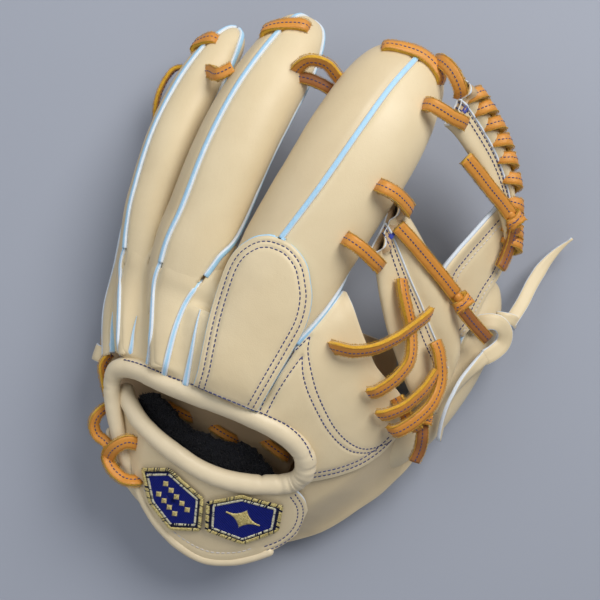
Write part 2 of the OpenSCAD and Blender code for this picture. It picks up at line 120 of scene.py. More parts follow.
# ---------------------------------------------------------------- materials
class Nodes:
    """A short way to write a node tree: each call adds a node, and sets or links its inputs."""

    def __init__(self, name):
        self.material = bpy.data.materials.new(name)
        self.material.use_nodes = True
        self.tree = self.material.node_tree
        self.shader = self.tree.nodes["Principled BSDF"]
        self.coord = self.tree.nodes.new("ShaderNodeTexCoord").outputs["Object"]

    def add(self, kind, props=(), **inputs):
        node = self.tree.nodes.new("ShaderNode" + kind)
        for key, value in props:
            setattr(node, key, value)
        for key, value in inputs.items():
            self.put(node.inputs[int(key[1:]) if key[0] == "i" and key[1:].isdigit()
                                 else key.replace("_", " ")], value)
        return node

    def put(self, socket, value):
        if isinstance(value, bpy.types.NodeSocket):
            self.tree.links.new(value, socket)
        else:
            socket.default_value = value

    def noise(self, scale, detail=3.0, rough=0.55, warp=0.0):
        return self.add("TexNoise", Vector=self.coord, Scale=scale, Detail=detail, Roughness=rough,
                        Distortion=warp).outputs["Fac"]

    def spread(self, fac, low, high, out_low=0.0, out_high=1.0):
        return self.add("MapRange", i0=fac, i1=low, i2=high, i3=out_low, i4=out_high).outputs[0]

    def mix(self, fac, a, b):
        node = self.add("Mix", props=(("data_type", "RGBA"),))
        self.put(node.inputs[0], fac)
        for socket, value in ((node.inputs[6], a), (node.inputs[7], b)):
            self.put(socket, (*value, 1) if isinstance(value, tuple) else value)
        return node.outputs[2]

    def bump(self, height, strength, distance, below=None):
        node = self.add("Bump", Height=height, Strength=strength, Distance=distance * MM)
        if below is not None:
            self.put(node.inputs["Normal"], below)
        return node.outputs["Normal"]

    def finish(self, colour, rough, normal=None, **constants):
        s = self.shader.inputs
        self.put(s["Base Color"], (*colour, 1) if isinstance(colour, tuple) else colour)
        self.put(s["Roughness"], rough)
        if normal is not None:
            self.put(s["Normal"], normal)
        for key, value in constants.items():
            s[key.replace("_", " ")].default_value = value
        return self.material


def leather(name, base, deep, worn, rough=0.44, pores=1.0):
    """Smooth leather: mottled colour, fine pores and hair lines, polished where the wear value is high."""
    n = Nodes(name)
    cloud = n.spread(n.noise(26, 5, 0.6, 0.4), 0.3, 0.72)
    broad = n.spread(n.noise(9, 2), 0.3, 0.7)
    speck = n.spread(n.noise(700, 2, 0.7), 0.62, 0.8)
    wear = n.add("Attribute", props=(("attribute_name", "wear"),)).outputs["Fac"]
    colour = base
    for mask, share, other in ((cloud, 0.55, deep), (broad, 0.3, worn), (speck, 0.25, deep),
                               (wear, 0.6, worn)):
        scaled = n.add("Math", props=(("operation", "MULTIPLY"),), i0=mask, i1=share).outputs[0]
        colour = n.mix(scaled, colour, other)
    cells = n.add("TexVoronoi", props=(("feature", "DISTANCE_TO_EDGE"),), Vector=n.coord, Scale=950.0)
    crackle = n.spread(cells.outputs["Distance"], 0.0, 0.16)
    soft = n.noise(330, 4, 0.65)
    waves = n.noise(60, 3, 0.5, 0.6)
    normal = n.bump(waves, 0.25, 0.5)
    normal = n.bump(soft, 0.3 * pores, 0.18, normal)
    normal = n.bump(crackle, 0.22 * pores, 0.1, normal)
    shine = n.spread(n.noise(38, 4), 0.3, 0.7, rough - 0.06, rough + 0.1)
    return n.finish(colour, shine, normal, Specular_IOR_Level=0.42, Sheen_Weight=0.06, Sheen_Roughness=0.4)


def fibrous(name, base, deep, rough=0.8, scale=900, depth=0.35, sheen=0.2):
    """Cut leather edge, suede or thread: short fibres."""
    n = Nodes(name)
    strand = n.noise(scale, 3, 0.75, 1.2)
    patch = n.noise(120, 3)
    colour = n.mix(n.spread(strand, 0.3, 0.72), deep, base)
    colour = n.mix(n.spread(patch, 0.35, 0.75, 0, 0.45), colour, deep)
    return n.finish(colour, n.spread(strand, 0.2, 0.8, rough - 0.08, min(1.0, rough + 0.12)),
                    n.bump(strand, 0.6, depth), Sheen_Weight=sheen, Sheen_Roughness=0.5)


def satin(name, base, deep, pitch=0.42):
    """Machine-embroidered satin: parallel threads with a silky gloss."""
    n = Nodes(name)
    lines = n.add("TexWave", props=(("wave_type", "BANDS"), ("bands_direction", "DIAGONAL")), Vector=n.coord,
                  Scale=314 / pitch / 2, Distortion=1.5, Detail=2.0, Detail_Scale=3.0).outputs["Fac"]
    fleck = n.noise(420, 2, 0.6)
    colour = n.mix(n.spread(lines, 0.1, 0.9), deep, base)
    colour = n.mix(n.spread(fleck, 0.5, 0.8, 0, 0.4), colour, deep)
    return n.finish(colour, n.spread(fleck, 0.3, 0.7, 0.38, 0.55), n.bump(lines, 0.7, 0.25),
                    Specular_IOR_Level=0.2)


def metal_thread(name, base, deep):
    n = Nodes(name)
    glint = n.noise(1500, 2, 0.6)
    return n.finish(n.mix(n.spread(glint, 0.35, 0.65), deep, base), n.spread(glint, 0.3, 0.7, 0.22, 0.5),
                    n.bump(glint, 0.5, 0.12), Metallic=0.4)


MATS = {
    "cream": leather("cream_leather", (0.775, 0.635, 0.40), (0.66, 0.51, 0.295), (0.83, 0.71, 0.49)),
    "cream_roll": leather("cream_roll_leather", (0.785, 0.655, 0.44), (0.68, 0.54, 0.335),
                          (0.85, 0.74, 0.54), 0.4, 0.8),
    "palm": leather("palm_leather", (0.70, 0.56, 0.345), (0.58, 0.44, 0.25), (0.77, 0.64, 0.43), 0.42, 1.1),
    "tan": leather("tan_lining", (0.50, 0.345, 0.19), (0.38, 0.25, 0.125), (0.58, 0.43, 0.26), 0.62, 1.3),
    "lace": leather("lace_grain", (0.72, 0.29, 0.04), (0.46, 0.15, 0.015), (0.80, 0.40, 0.08), 0.42, 2.0),
    "fuzz": fibrous("lace_suede_edge", (0.90, 0.56, 0.035), (0.52, 0.24, 0.01), 0.85, 1100, 0.4),
    "dark_lace": leather("dark_lace_grain", (0.36, 0.13, 0.03), (0.22, 0.07, 0.015), (0.46, 0.19, 0.05),
                         0.45, 1.4),
    "blue": fibrous("welt_blue", (0.50, 0.76, 0.93), (0.36, 0.62, 0.85), 0.55, 700, 0.15, 0.05),
    "white": fibrous("welt_white_edge", (0.83, 0.88, 0.93), (0.66, 0.74, 0.84), 0.7, 900, 0.2, 0.1),
    "navy": fibrous("navy_thread", (0.03, 0.05, 0.24), (0.008, 0.012, 0.09), 0.5, 2200, 0.08, 0.3),
    "royal": fibrous("royal_bartack_thread", (0.02, 0.07, 0.55), (0.01, 0.02, 0.25), 0.45, 2200, 0.08, 0.3),
    "pale": fibrous("pale_thread", (0.78, 0.74, 0.70), (0.55, 0.50, 0.46), 0.6, 2200, 0.08, 0.3),
    "fleece": fibrous("black_fleece", (0.009, 0.010, 0.017), (0.002, 0.002, 0.005), 0.95, 1300, 0.8, 0.1),
    "felt": fibrous("grey_felt", (0.35, 0.35, 0.37), (0.24, 0.24, 0.26), 0.95, 800, 0.5, 0.3),
    "satin": satin("royal_satin", (0.004, 0.014, 0.24), (0.001, 0.004, 0.09)),
    "patch_navy": satin("navy_satin", (0.006, 0.009, 0.05), (0.002, 0.003, 0.018)),
    "gold": metal_thread("gold_thread", (0.93, 0.80, 0.38), (0.50, 0.38, 0.12)),
    "silver": metal_thread("silver_gold_thread", (0.93, 0.90, 0.70), (0.55, 0.51, 0.34)),
    "hole": fibrous("shadowed_hole", (0.08, 0.05, 0.03), (0.04, 0.02, 0.015), 0.9, 900, 0.2, 0.0),
}


FLOOR_GAP = 0.0003                # metres kept between every mesh and the floor
RAY_TOP = 160.0                   # rays start here, above the whole glove
DOWN = Vector((0, 0, -1))
UP = np.array([0, 0, 1.0])


# ---------------------------------------------------------------- mesh building
class Part:
    """Collects the vertices and faces of one piece, in design millimetres."""

    def __init__(self):
        self.verts, self.faces, self.mats, self.wear = [], [], [], []

    def put(self, points, faces, mats, wear=None):
        base = len(self.verts)
        points = [tuple(p) for p in np.asarray(points, float)]
        self.verts += points
        self.wear += list(wear) if wear is not None else [0.0] * len(points)
        self.faces += [tuple(base + i for i in f) for f in faces]
        self.mats += [mats] * len(faces) if isinstance(mats, str) else list(mats)

    def add(self, *others):
        """Takes in the surfaces of other parts, to build one tree over all of them."""
        for other in others:
            self.put(other.verts, other.faces, "cream")
        return self

    def bvh(self):
        return BVHTree.FromPolygons([Vector(v) for v in self.verts], self.faces)

    def make(self, name, body=None, blend=None, replaces=(), slot=None):
        mesh = bpy.data.meshes.new(name)
        points = to_row(self.verts)
        points[:, 2] = np.maximum(points[:, 2], FLOOR_GAP)
        mesh.from_pydata(points.tolist(), [], self.faces)
        used = sorted(set(self.mats))
        for m in used:
            mesh.materials.append(MATS[m])
        index = {m: i for i, m in enumerate(used)}
        mesh.polygons.foreach_set("material_index", [index[m] for m in self.mats])
        mesh.polygons.foreach_set("use_smooth", [True] * len(self.faces))
        wear = mesh.attributes.new("wear", "FLOAT", "POINT")
        wear.data.foreach_set("value", np.asarray(self.wear, np.float32))
        mesh.validate()
        mesh.update()
        obj = bpy.data.objects.new(name, mesh)
        bpy.context.scene.collection.objects.link(obj)
        if blend:
            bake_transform(obj)
        else:
            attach(obj, body)
        if replaces:
            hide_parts(*replaces)
        return obj


def unit(v):
    v = np.asarray(v, float)
    return v / max(1e-9, float(np.linalg.norm(v)))


def at(p, u):
    """Catmull-Rom point at station u of a list of rows."""
    n = len(p) - 1
    i = min(max(int(math.floor(u)), 0), n - 1)
    a, b, c, d = (np.asarray(p[k], float) for k in (max(i - 1, 0), i, i + 1, min(i + 2, n)))
    t = u - i
    return 0.5 * (2 * b + (c - a) * t + (2 * a - 5 * b + 4 * c - d) * t * t + (3 * b - a - 3 * c + d) *
                  t ** 3)


def along(p, count):
    return np.array([at(p, k * (len(p) - 1) / count) for k in range(count + 1)])


def resample(points, step):
    """The same polyline with points a fixed step apart."""
    points = np.asarray(points, float)
    seg = np.linalg.norm(np.diff(points, axis=0), axis=1)
    s = np.concatenate([[0], np.cumsum(seg)])
    count = max(2, int(round(s[-1] / step)))
    t = np.linspace(0, s[-1], count + 1)
    return np.stack([np.interp(t, s, points[:, k]) for k in range(points.shape[1])], 1)


def curve(points, step):
    return resample(along(points, 12 * (len(points) - 1)), step)


def distance_to(points, line):
    """Least distance from each point to a polyline."""
    points, line = np.asarray(points, float), np.asarray(line, float)
    a, d = line[:-1], np.diff(line, axis=0)
    best = np.full(len(points), 1e9)
    for p0, v in zip(a, d):
        t = np.clip(((points - p0) @ v) / max(1e-9, v @ v), 0, 1)
        best = np.minimum(best, np.linalg.norm(points - p0 - t[:, None] * v, axis=1))
    return best


def uneven(p, amp, size, seed=0.0):
    v = Vector((p[0] / size + seed, p[1] / size, p[2] / size))
    return amp * (noise.noise(v) + 0.4 * noise.noise(v * 2.7))


def grid_normals(g):
    du = np.gradient(g, axis=0)
    dv = np.gradient(g, axis=1)
    n = np.cross(du, dv)
    n /= np.maximum(np.linalg.norm(n, axis=2, keepdims=True), 1e-9)
    return n


def skin(part, g, thick, mat, inner=None, edge=None, up=(0, 0, 1), wear=None, flip=None):
    """A curved sheet with a rounded edge. g[row][column] is its outer face."""
    g = np.asarray(g, float)
    n = grid_normals(g)
    if flip is None:
        flip = float((n.reshape(-1, 3) @ np.asarray(up, float)).mean()) < 0
    if flip:
        n = -n
    rows, cols = g.shape[:2]
    top = g.reshape(-1, 3)
    low = (g - n * thick).reshape(-1, 3)
    ring = [(0, j) for j in range(cols)] + [(i, cols - 1) for i in range(1, rows)] \
        + [(rows - 1, j) for j in range(cols - 2, -1, -1)] + [(i, 0) for i in range(rows - 2, 0, -1)]
    mid = []
    for i, j in ring:
        out = np.zeros(3)
        for on_side, row, col in ((i == 0, 1, j), (i == rows - 1, -2, j), (j == 0, i, 1),
                                  (j == cols - 1, i, -2)):
            if on_side:
                out += g[i, j] - g[row, col]
        mid.append(g[i, j] - n[i, j] * thick * 0.5 + unit(out) * thick * 0.28)
    count = rows * cols
    index = lambda i, j: i * cols + j
    faces, mats = [], []
    for i in range(rows - 1):
        for j in range(cols - 1):
            q = (index(i, j), index(i, j + 1), index(i + 1, j + 1), index(i + 1, j))
            low_q = tuple(count + k for k in q)
            faces += [q[::-1] if flip else q, low_q if flip else low_q[::-1]]
            mats += [mat, inner or mat]
    r = len(ring)
    for k in range(r):
        a, b = index(*ring[k]), index(*ring[(k + 1) % r])
        c, d = 2 * count + k, 2 * count + (k + 1) % r
        for q in ((a, c, d, b), (c, count + a, count + b, d)):
            faces.append(q if not flip else q[::-1])
            mats.append(edge or mat)
    w = np.zeros(2 * count + r)
    if wear is not None:
        w[:count] = np.asarray(wear).reshape(-1)
    part.put(np.concatenate([top, low, np.array(mid)]), faces, mats, w)


def frames_along(c, ups):
    n = len(c)
    d = np.array([unit(c[min(k + 1, n - 1)] - c[max(k - 1, 0)]) for k in range(n)])
    ups = np.asarray(ups, float)
    if ups.ndim == 1:
        out, v = [], unit(ups - d[0] * (ups @ d[0]))
        for k in range(n):
            v = unit(v - d[k] * (v @ d[k]))
            out.append(v)
        ups = np.array(out)
    else:
        t = np.linspace(0, len(ups) - 1, n)
        ups = np.stack([np.interp(t, range(len(ups)), ups[:, k]) for k in range(3)], 1)
        ups = np.array([unit(v - d[k] * (v @ d[k])) for k, v in enumerate(ups)])
    side = np.cross(d, ups)
    return d, ups, side


ROUND_CAP = ((0.25, 0.95), (0.6, 0.78),
             (0.88, 0.45))     # shares of the ring's size and of the cap's length, tip first
ROLL_CAP = ((0.25, 0.9), (0.65, 0.7), (0.9, 0.35))


def dome(ring, way, steps):
    """Rings that round off an open end, from its tip inwards; way points out of the end."""
    middle = ring.mean(0)
    return [middle + (ring - middle) * size + way * push for size, push in steps]


def sweep(part, c, ups, profile, mats, cap="flat", wobble=None, turn=0.0, ends=None):
    """Carries a closed profile (side, up) along points c. profile may be a function of the fraction along."""
    c = np.asarray(c, float)
    n = len(c)
    d, up, side = frames_along(c, ups)
    rings = []
    for k in range(n):
        prof = np.asarray(profile(k / (n - 1)) if callable(profile) else profile, float)
        a = math.radians(turn(k / (n - 1)) if callable(turn) else turn)
        s = side[k] * math.cos(a) + up[k] * math.sin(a)
        u = up[k] * math.cos(a) - side[k] * math.sin(a)
        ring = c[k] + prof[:, :1] * s + prof[:, 1:] * u
        if wobble is not None:
            ring = ring + wobble(ring, k / (n - 1), c[k])
        rings.append(ring)
    m = len(rings[0])
    if cap == "round":
        r = np.abs(rings[0] - c[0]).max()
        first, last = rings[0], rings[-1]
        rings = dome(first, -d[0] * r, ROUND_CAP) + rings + dome(last, d[-1] * r, ROUND_CAP)[::-1]
    n = len(rings)
    pts = np.concatenate(rings)
    faces, fm = [], []
    for k in range(n - 1):
        for i in range(m):
            j = (i + 1) % m
            faces.append((k * m + i, (k + 1) * m + i, (k + 1) * m + j, k * m + j))
            fm.append(mats[i] if not isinstance(mats, str) else mats)
    for k, rev in ((0, False), (n - 1, True)):
        f = tuple(k * m + i for i in range(m))
        faces.append(f[::-1] if rev else f)
        fm.append(ends or (mats if isinstance(mats, str) else mats[-1]))
    part.put(pts, [f[::-1] for f in faces], fm)


def circle(r, m=16, squash=1.0):
    return [(r * math.cos(2 * math.pi * i / m), squash * r * math.sin(2 * math.pi * i / m)) for i in range(m)]


def dash(part, p, q, n, r, mat, lift=0.2, sink=0.3, sides=6):
    """One stitch: a plump thread from p to q that dives into the leather at both ends."""
    p, q = np.asarray(p, float), np.asarray(q, float)
    d = q - p
    c, radius = [], []
    for t, h, f in ((-0.02, -sink, 0.45), (0.1, lift * 0.35, 0.85), (0.3, lift, 1.0), (0.7, lift, 1.0),
                    (0.9, lift * 0.35, 0.85), (1.02, -sink, 0.45)):
        c.append(p + d * t + n * h)
        radius.append(r * f)
    sweep(part, c, n, lambda t: circle(radius[min(5, int(round(t * 5)))], sides), mat)


def stitches(part, line, normals, mat="navy", pitch=2.5, share=0.72, r=0.33, lift=0.12, sides=6):
    """A row of lockstitches along a line that lies on the leather."""
    both = resample(np.concatenate([line, normals], 1), pitch)
    for k in range(len(both) - 1):
        a, b = both[k, :3], both[k + 1, :3]
        dash(part, a, a + (b - a) * share, unit(both[k, 3:]), r, mat, lift, sides=sides)


def fall(tree, x, y):
    """Where a ray straight down at x, y meets the surface, or None."""
    return tree.ray_cast(Vector((x, y, RAY_TOP)), DOWN)[0]


def drop(tree, xy, lift=0.0, step=1.0, smooth=True):
    """Lays a plan-view curve on a surface: points and normals of where it falls."""
    path = (curve if smooth else resample)([(x, y, 0) for x, y in xy], step)
    points, normals = [], []
    for x, y, _ in path:
        hit, n, _, _ = tree.ray_cast(Vector((x, y, RAY_TOP)), DOWN)
        if hit is not None:
            n = n if n.z > 0 else -n
            points.append(np.array(hit) + np.array(n) * lift)
            normals.append(np.array(n))
    points, normals = np.array(points), np.array(normals)
    for _ in range(2):
        normals[1:-1] = (normals[:-2] + normals[1:-1] + normals[2:]) / 3
    return points, normals


def relax(c, rounds):
    """Evens out a row of points in place; its two ends stay."""
    for _ in range(rounds):
        c[1:-1] = (c[:-2] + 2 * c[1:-1] + c[2:]) / 4


def sew(part, tree, lines, lift=-0.1, **kw):
    """Rows of stitches laid on a surface along plan-view lines."""
    for line in lines:
        c, n = drop(tree, line, lift, smooth=False)
        stitches(part, c, n, **kw)


def shaky(amp, size, seed, upright=False):
    """Small unevenness for swept rings: up and down only, or the same in all three directions."""
    if upright:
        return lambda ring, f, p: np.array([[0, 0, uneven(q, amp, size, seed)] for q in ring])
    return lambda ring, f, p: np.array([[uneven(q, amp, size, seed)] * 3 for q in ring])


# ---------------------------------------------------------------- thumb strap and its two loose ends
STRAP_W, STRAP_T = 7.0, 2.0
LONG_END = [(107, 30, 29), (110, 42, 25), (112, 55, 20), (115, 67, 16), (119, 77, 14), (124, 86, 14)]
SHORT_END = [(101, 9, 34.5), (97, 1, 38.5), (93, -9, 41), (91, -20, 42.5), (92, -31, 40), (95, -41, 34)]


def strap_profile(w, t=STRAP_T):
    a, b = w / 2, t / 2
    return [(-a, b * 0.55), (-a * 0.93, b * 0.92), (-a * 0.4, b), (a * 0.4, b), (a * 0.93, b * 0.92),
            (a, b * 0.55), (a, -b * 0.55),
            (a * 0.93, -b), (0, -b), (-a * 0.93, -b), (-a, -b * 0.55)]


STRAP_MATS = ["white", "cream", "cream", "cream", "white", "white", "white", "tan", "tan", "white", "white"]


def strap_end(name, route, replaced, turn, taper):
    """A loose end of the thumb strap, swept as a flat strip."""
    c = curve(route, 1.2)
    part = Part()
    width = lambda f: strap_profile(STRAP_W * (1.0 if f < 1 - taper else max(0.12, (1 - f) / taper) ** 0.8))
    sweep(part, c, (0, 0, 1), width, STRAP_MATS, turn=turn, ends="white",
          wobble=shaky(0.12, 9, 51, upright=True))
    obj = part.make(name, "thumb_side", replaces=[replaced])


strap_end("thumb_strap_long_end", LONG_END, "thumb_strap_long", lambda f: 12 - 30 * f, 0.42)
strap_end("thumb_strap_short_end", SHORT_END, "thumb_strap_short", lambda f: 20 + 52 * min(1.0, f * 2), 0.06)
loop = Part()
sweep(loop, curve([(88, 20, 31), (93, 25, 35), (100, 27.5, 35), (106, 24.5, 32), (107.5, 18.5, 30),
                   (104.5, 12.5, 32), (100.5, 8, 34.5)], 1.0),
      (0, 0, 1), strap_profile(STRAP_W + 1.5), STRAP_MATS, ends="white",
      turn=lambda f: 18 * math.sin(6.28 * f))
sweep(loop, curve([(99, 30.5, 31), (103, 31.5, 32.5), (108, 32, 31), (110.5, 30.5, 26.5),
                   (107.5, 29.5, 22.5)], 1.0),
      [(0, 0, 1), (0, 0, 1), (0.6, 0, 0.8), (1, 0, 0), (0.6, 0, -0.8)], strap_profile(6.0), STRAP_MATS,
      ends="white")
loop.make("thumb_strap_loop", "thumb_side", replaces=["thumb_strap_knot"])


def lace_profile(w=6.5, t=2.6):
    a, b = w / 2, t / 2
    return [(-a * 0.93, b * 0.8), (-a * 0.5, b * 0.97), (0, b * 1.03), (a * 0.5, b * 0.97),
            (a * 0.93, b * 0.8), (a, b * 0.3),
            (a, -b * 0.3), (a * 0.93, -b * 0.85), (0, -b), (-a * 0.93, -b * 0.85), (-a, -b * 0.3),
            (-a, b * 0.3)]


LACE_MATS = ["lace"] * 4 + ["fuzz"] * 8
DARK_MATS = ["dark_lace"] * 4 + ["fuzz", "dark_lace", "dark_lace", "dark_lace", "dark_lace", "dark_lace",
                                 "fuzz", "fuzz"]


def fuzz(part, edge, out, amount=1.0, length=0.9, mat="fuzz"):
    """Short stray fibres along a cut edge."""
    pts = resample(edge, 0.42 / amount)
    outs = np.stack([np.interp(np.linspace(0, 1, len(pts)), np.linspace(0, 1, len(out)), out[:, k])
                     for k in range(3)], 1)
    for k in range(len(pts) - 1):
        d = unit(pts[k + 1] - pts[k])
        o = unit(outs[k]) + d * RNG.uniform(-0.7, 0.7) + np.cross(d, outs[k]) * RNG.uniform(-0.6, 0.6)
        tip = pts[k] + unit(o) * length * RNG.uniform(0.35, 1.0) + d * RNG.uniform(-0.3, 0.3)
        w = RNG.uniform(0.12, 0.24)
        s = np.cross(d, unit(o)) * w
        part.put([pts[k] + d * w, pts[k] - d * w * 0.5 + s, pts[k] - d * w * 0.5 - s, tip],
                 [(0, 1, 3), (1, 2, 3), (2, 0, 3), (0, 2, 1)], mat)


def lace(part, route, ups=(0, 0, 1), w=6.5, t=2.6, turn=0.0, step=1.2, dark=False, fluff=1.0):
    """A rawhide lace: grain face with a stitched centre line, yellow suede edges with stray fibres."""
    c = curve(route, step)
    n = len(c)
    prof = lace_profile(w, t)
    sweep(part, c, ups, prof, DARK_MATS if dark else LACE_MATS, turn=turn, wobble=shaky(0.12, 2.6, 3),
          ends="fuzz")
    _, up, side = frames_along(c, ups)
    a = np.array([math.radians(turn(k / (n - 1)) if callable(turn) else turn) for k in range(n)])[:, None]
    s = side * np.cos(a) + up * np.sin(a)
    u = up * np.cos(a) - side * np.sin(a)
    stitches(part, c + u * (t / 2 * 1.03), u, pitch=2.1, share=0.62, r=0.3, lift=0.03, sides=5)
    if fluff:
        for sign in (1, -1):
            for h in (0.42, -0.5):
                fuzz(part, c + s * sign * w * 0.485 + u * h * t, s * sign + u * h, fluff * 1.5, 1.05)


# ---------------------------------------------------------------- design data (millimetres)
def web_at(x):
    """Height of the web's middle layer."""
    return 77 - 0.55 * (x - 34) - 0.0018 * (x - 34) ** 2


CREST_X, CREST_Z = -12, 92        # where the back is highest
PALM_LOW, PALM_RISE = 3, 51       # height of the palm's edge, and how far its middle is above that
HEEL_Y = -20                      # from here towards the heel everything falls


def heel_fall(y, span, power=2.0):
    return 1 - (max(0.0, HEEL_Y - y) / span) ** power


def palm_at(x, y):
    return PALM_LOW + PALM_RISE * (1 - (x / (104 if x < 0 else 100)) ** 2) * heel_fall(y, 118, 1.3)


def back_at(x, y):
    if x < CREST_X:
        side = 1 - (max(0.0, CREST_X - x) / 105) ** 2.2
    else:
        side = 1 - ((x - CREST_X) / 125) ** 2
    return heel_fall(y, 140) * CREST_Z * side


def strap_at(x, y):
    return 62.5 + 0.5 * (y + 99) - 0.0045 * (x + 5) ** 2


WELT_R, LEATHER_T = 1.15, 2.4
FINGERS = {
    "index": [
        [-17, -55, 77, 20, 8, 3, 30, 160], [-15, -38, 79, 24, 11, 3, 38, 160],
        [-12, -18, 75, 27, 17, 2, 44, 145], [-11, 3, 77, 27, 17, 1, 20, 122],
        [-10, 23, 78, 27, 17, 0, -8, 110], [-5, 52, 79, 27.5, 18, -3, -26, 105],
        [0, 82, 77, 28, 18, -5, -28, 102], [4, 107, 71, 26, 17, -6, -24, 99],
        [8, 124, 64, 21, 14, -6, -12, 97], [10, 133, 59, 13, 9, -6, 0, 96], [11, 137, 57, 3, 2, -6, 0, 96]],
    "middle": [
        [-51, -55, 73, 6, 4, 20, 10, 170], [-56, -38, 71, 9, 6, 21, 15, 160],
        [-57, -18, 63, 19, 13, 24, 45, 118], [-59, 3, 64, 20.5, 14.5, 24, 23, 112],
        [-59, 20, 64, 20.5, 15.5, 24, -8, 107], [-59, 52, 65, 20.5, 16, 24, -28, 107],
        [-57, 80, 62, 20, 16, 24, -28, 107], [-54, 104, 56, 18.5, 14.5, 22, -16, 106],
        [-51.5, 121, 50, 15.5, 12, 20, 0, 105], [-50, 131, 46, 10.5, 8, 20, 5, 105],
        [-49.5, 135, 44.5, 3, 2, 20, 5, 105]],
    "ring": [
        [-71, -57, 60, 4, 3.5, 40, 10, 170], [-78, -38, 54, 6.5, 5.5, 43, 15, 150],
        [-81.5, -18, 43, 14.5, 11, 48, 24, 96], [-87, 3, 43, 14.5, 11.5, 48, -8, 94],
        [-90, 20, 43.5, 14.8, 12, 49, -28, 93], [-92, 50, 43.5, 15, 12.5, 50, -34, 93],
        [-91, 78, 40.5, 14.8, 12, 48, -28, 93], [-88, 98, 36.5, 13.5, 11, 46, -8, 93],
        [-85.5, 110, 33.5, 10.5, 8.5, 44, 5, 93], [-84.5, 117, 31.5, 6.5, 5, 44, 5, 93],
        [-84, 120, 31, 2, 1.6, 44, 5, 93]],
    "pinky": [
        [-80, -62, 44, 5, 4, 58, 15, 150], [-88, -42, 31, 7, 6, 70, 10, 125],
        [-91, -18, 13.5, 10.5, 9.5, 78, 8, 105], [-94, 2, 13.4, 10.5, 10, 78, 8, 100],
        [-95, 20, 13.4, 10.5, 10, 79, 8, 98], [-96, 45, 13.4, 10.5, 10, 80, 8, 98],
        [-95, 68, 12.9, 10, 9.5, 80, 8, 98], [-93, 84, 11.5, 8, 7.5, 80, 8, 98],
        [-92, 92, 10.5, 5, 4.5, 80, 8, 98], [-92, 95, 10.5, 2, 1.6, 80, 8, 98]],
    "thumb": [
        [67, -66, 20, 12, 8, -36, 12, 166], [78, -44, 25, 15, 12, -42, 8, 170],
        [87, -22, 21, 15, 12, -46, 8, 170], [93, 5, 17, 14.5, 11.5, -50, 8, 170],
        [93, 28, 15, 13, 11, -52, 8, 170], [91, 42, 13.5, 9.5, 8.5, -52, 8, 170],
        [90, 48, 12.5, 5, 4.5, -52, 8, 170], [90, 51, 12.5, 2, 1.6, -52, 8, 170]]}
BODY = {"index": "hand", "middle": "hand", "ring": "hand", "pinky": "pinky_side", "thumb": "thumb_side"}


def heading(p, u):
    n = len(p) - 1
    u = min(max(u, 0.0), n)
    return unit(at(p, min(u + 0.05, n))[:3] - at(p, max(u - 0.05, 0))[:3])


def on_finger(p, u, a, lift):
    """Point of a finger's surface at station u and angle a in degrees, raised by lift."""
    s = at(p, u)
    d = heading(p, u)
    right = unit(np.cross(d, (0, 0, 1)))
    over = np.cross(right, d)
    r = math.radians(s[5])
    fx = right * math.cos(r) + over * math.sin(r)
    fy = over * math.cos(r) - right * math.sin(r)
    a = math.radians(a)
    return s[:3] + fx * max(0.4, s[3] + lift) * math.cos(a) + fy * max(0.3, s[4] + lift) * math.sin(a)


DEGREES_PER_RADIAN = 57.3


def slot_angle(s, a):
    """Angle that half the welt and its clearance take up at station s of a finger."""
    a = math.radians(a)
    radius = max(1, math.hypot(s[3] * math.sin(a), s[4] * math.cos(a)))
    return min(25, (WELT_R + 0.25) * DEGREES_PER_RADIAN / radius)


def finger_grid(name, back, rows, cols, start=0.0):
    """Outer face of the back or front leather of a finger, rolled in along its seams."""
    p = FINGERS[name]
    n = len(p) - 1
    g, wear = [], []
    for k in range(rows + 1):
        f = k / rows
        u = start + (n - start) * (1 - (1 - f) ** 1.35)
        s = at(p, u)
        a_from, a_to = (s[6], s[7]) if back else (s[7], s[6] + 360)
        a0, a1 = a_from + slot_angle(s, s[6 if back else 7]), a_to - slot_angle(s, s[7 if back else 6])
        arc = math.radians(abs(a1 - a0)) * (s[3] + s[4]) / 2
        row, w = [], []
        for i in range(cols + 1):
            t = 0.5 - 0.5 * math.cos(math.pi * i / cols)
            edge = min(t, 1 - t) * arc
            a = a0 + (a1 - a0) * t
            base = on_finger(p, u, a, 0)
            small = min(1.0, s[4] / 8)
            lift = small * (uneven(base, 0.35, 24, 5) +
                            uneven(base, 0.1, 6, 9)) - 0.75 * math.exp(-(edge / 1.0) ** 2)
            row.append(on_finger(p, u, a, lift))
            w.append(0.75 * math.exp(-(edge / 1.6) ** 2))
        g.append(row)
        wear.append(w)
    return np.array(g), np.array(wear)


FINGER_PARTS = {}
LONG_FINGERS = ("index", "middle", "ring", "pinky")
for name in FINGERS:
    start = {"thumb": 0.0, "middle": 1.3, "ring": 1.2}.get(name, 2.0)
    for back in (True, False):
        part = Part()
        long_way = name != "thumb"
        g, wear = finger_grid(name, back, 74 if long_way else 46, 24 if back else 34,
                              (-0.2 if long_way else 0.0) if back else start)
        outward = g[len(g) // 2, g.shape[1] // 2] - at(FINGERS[name], (len(FINGERS[name]) - 1) / 2)[:3]
        n_mid = grid_normals(g)[len(g) // 2, g.shape[1] // 2]
        skin(part, g, LEATHER_T, "cream" if back else "palm", inner="tan", wear=wear,
             flip=float(n_mid @ outward) < 0)
        FINGER_PARTS[name, back] = part
        side = "back" if back else "front"
        part.make(f"{name}_{side}_leather", BODY[name],
                  replaces=[f"{name}_{side}"] + (["thumb_lining"] if (name, back) == ("thumb", False)
                                                 else []))


SEAM_START = {}


def base_station(name, y=-7.0):
    """Station at which a finger crosses the line y, where its welts come out of the leather over its base."""
    rows = FINGERS[name]
    return next(u for u in np.arange(0, len(rows) - 1, 0.05) if at(rows, u)[1] >= y)


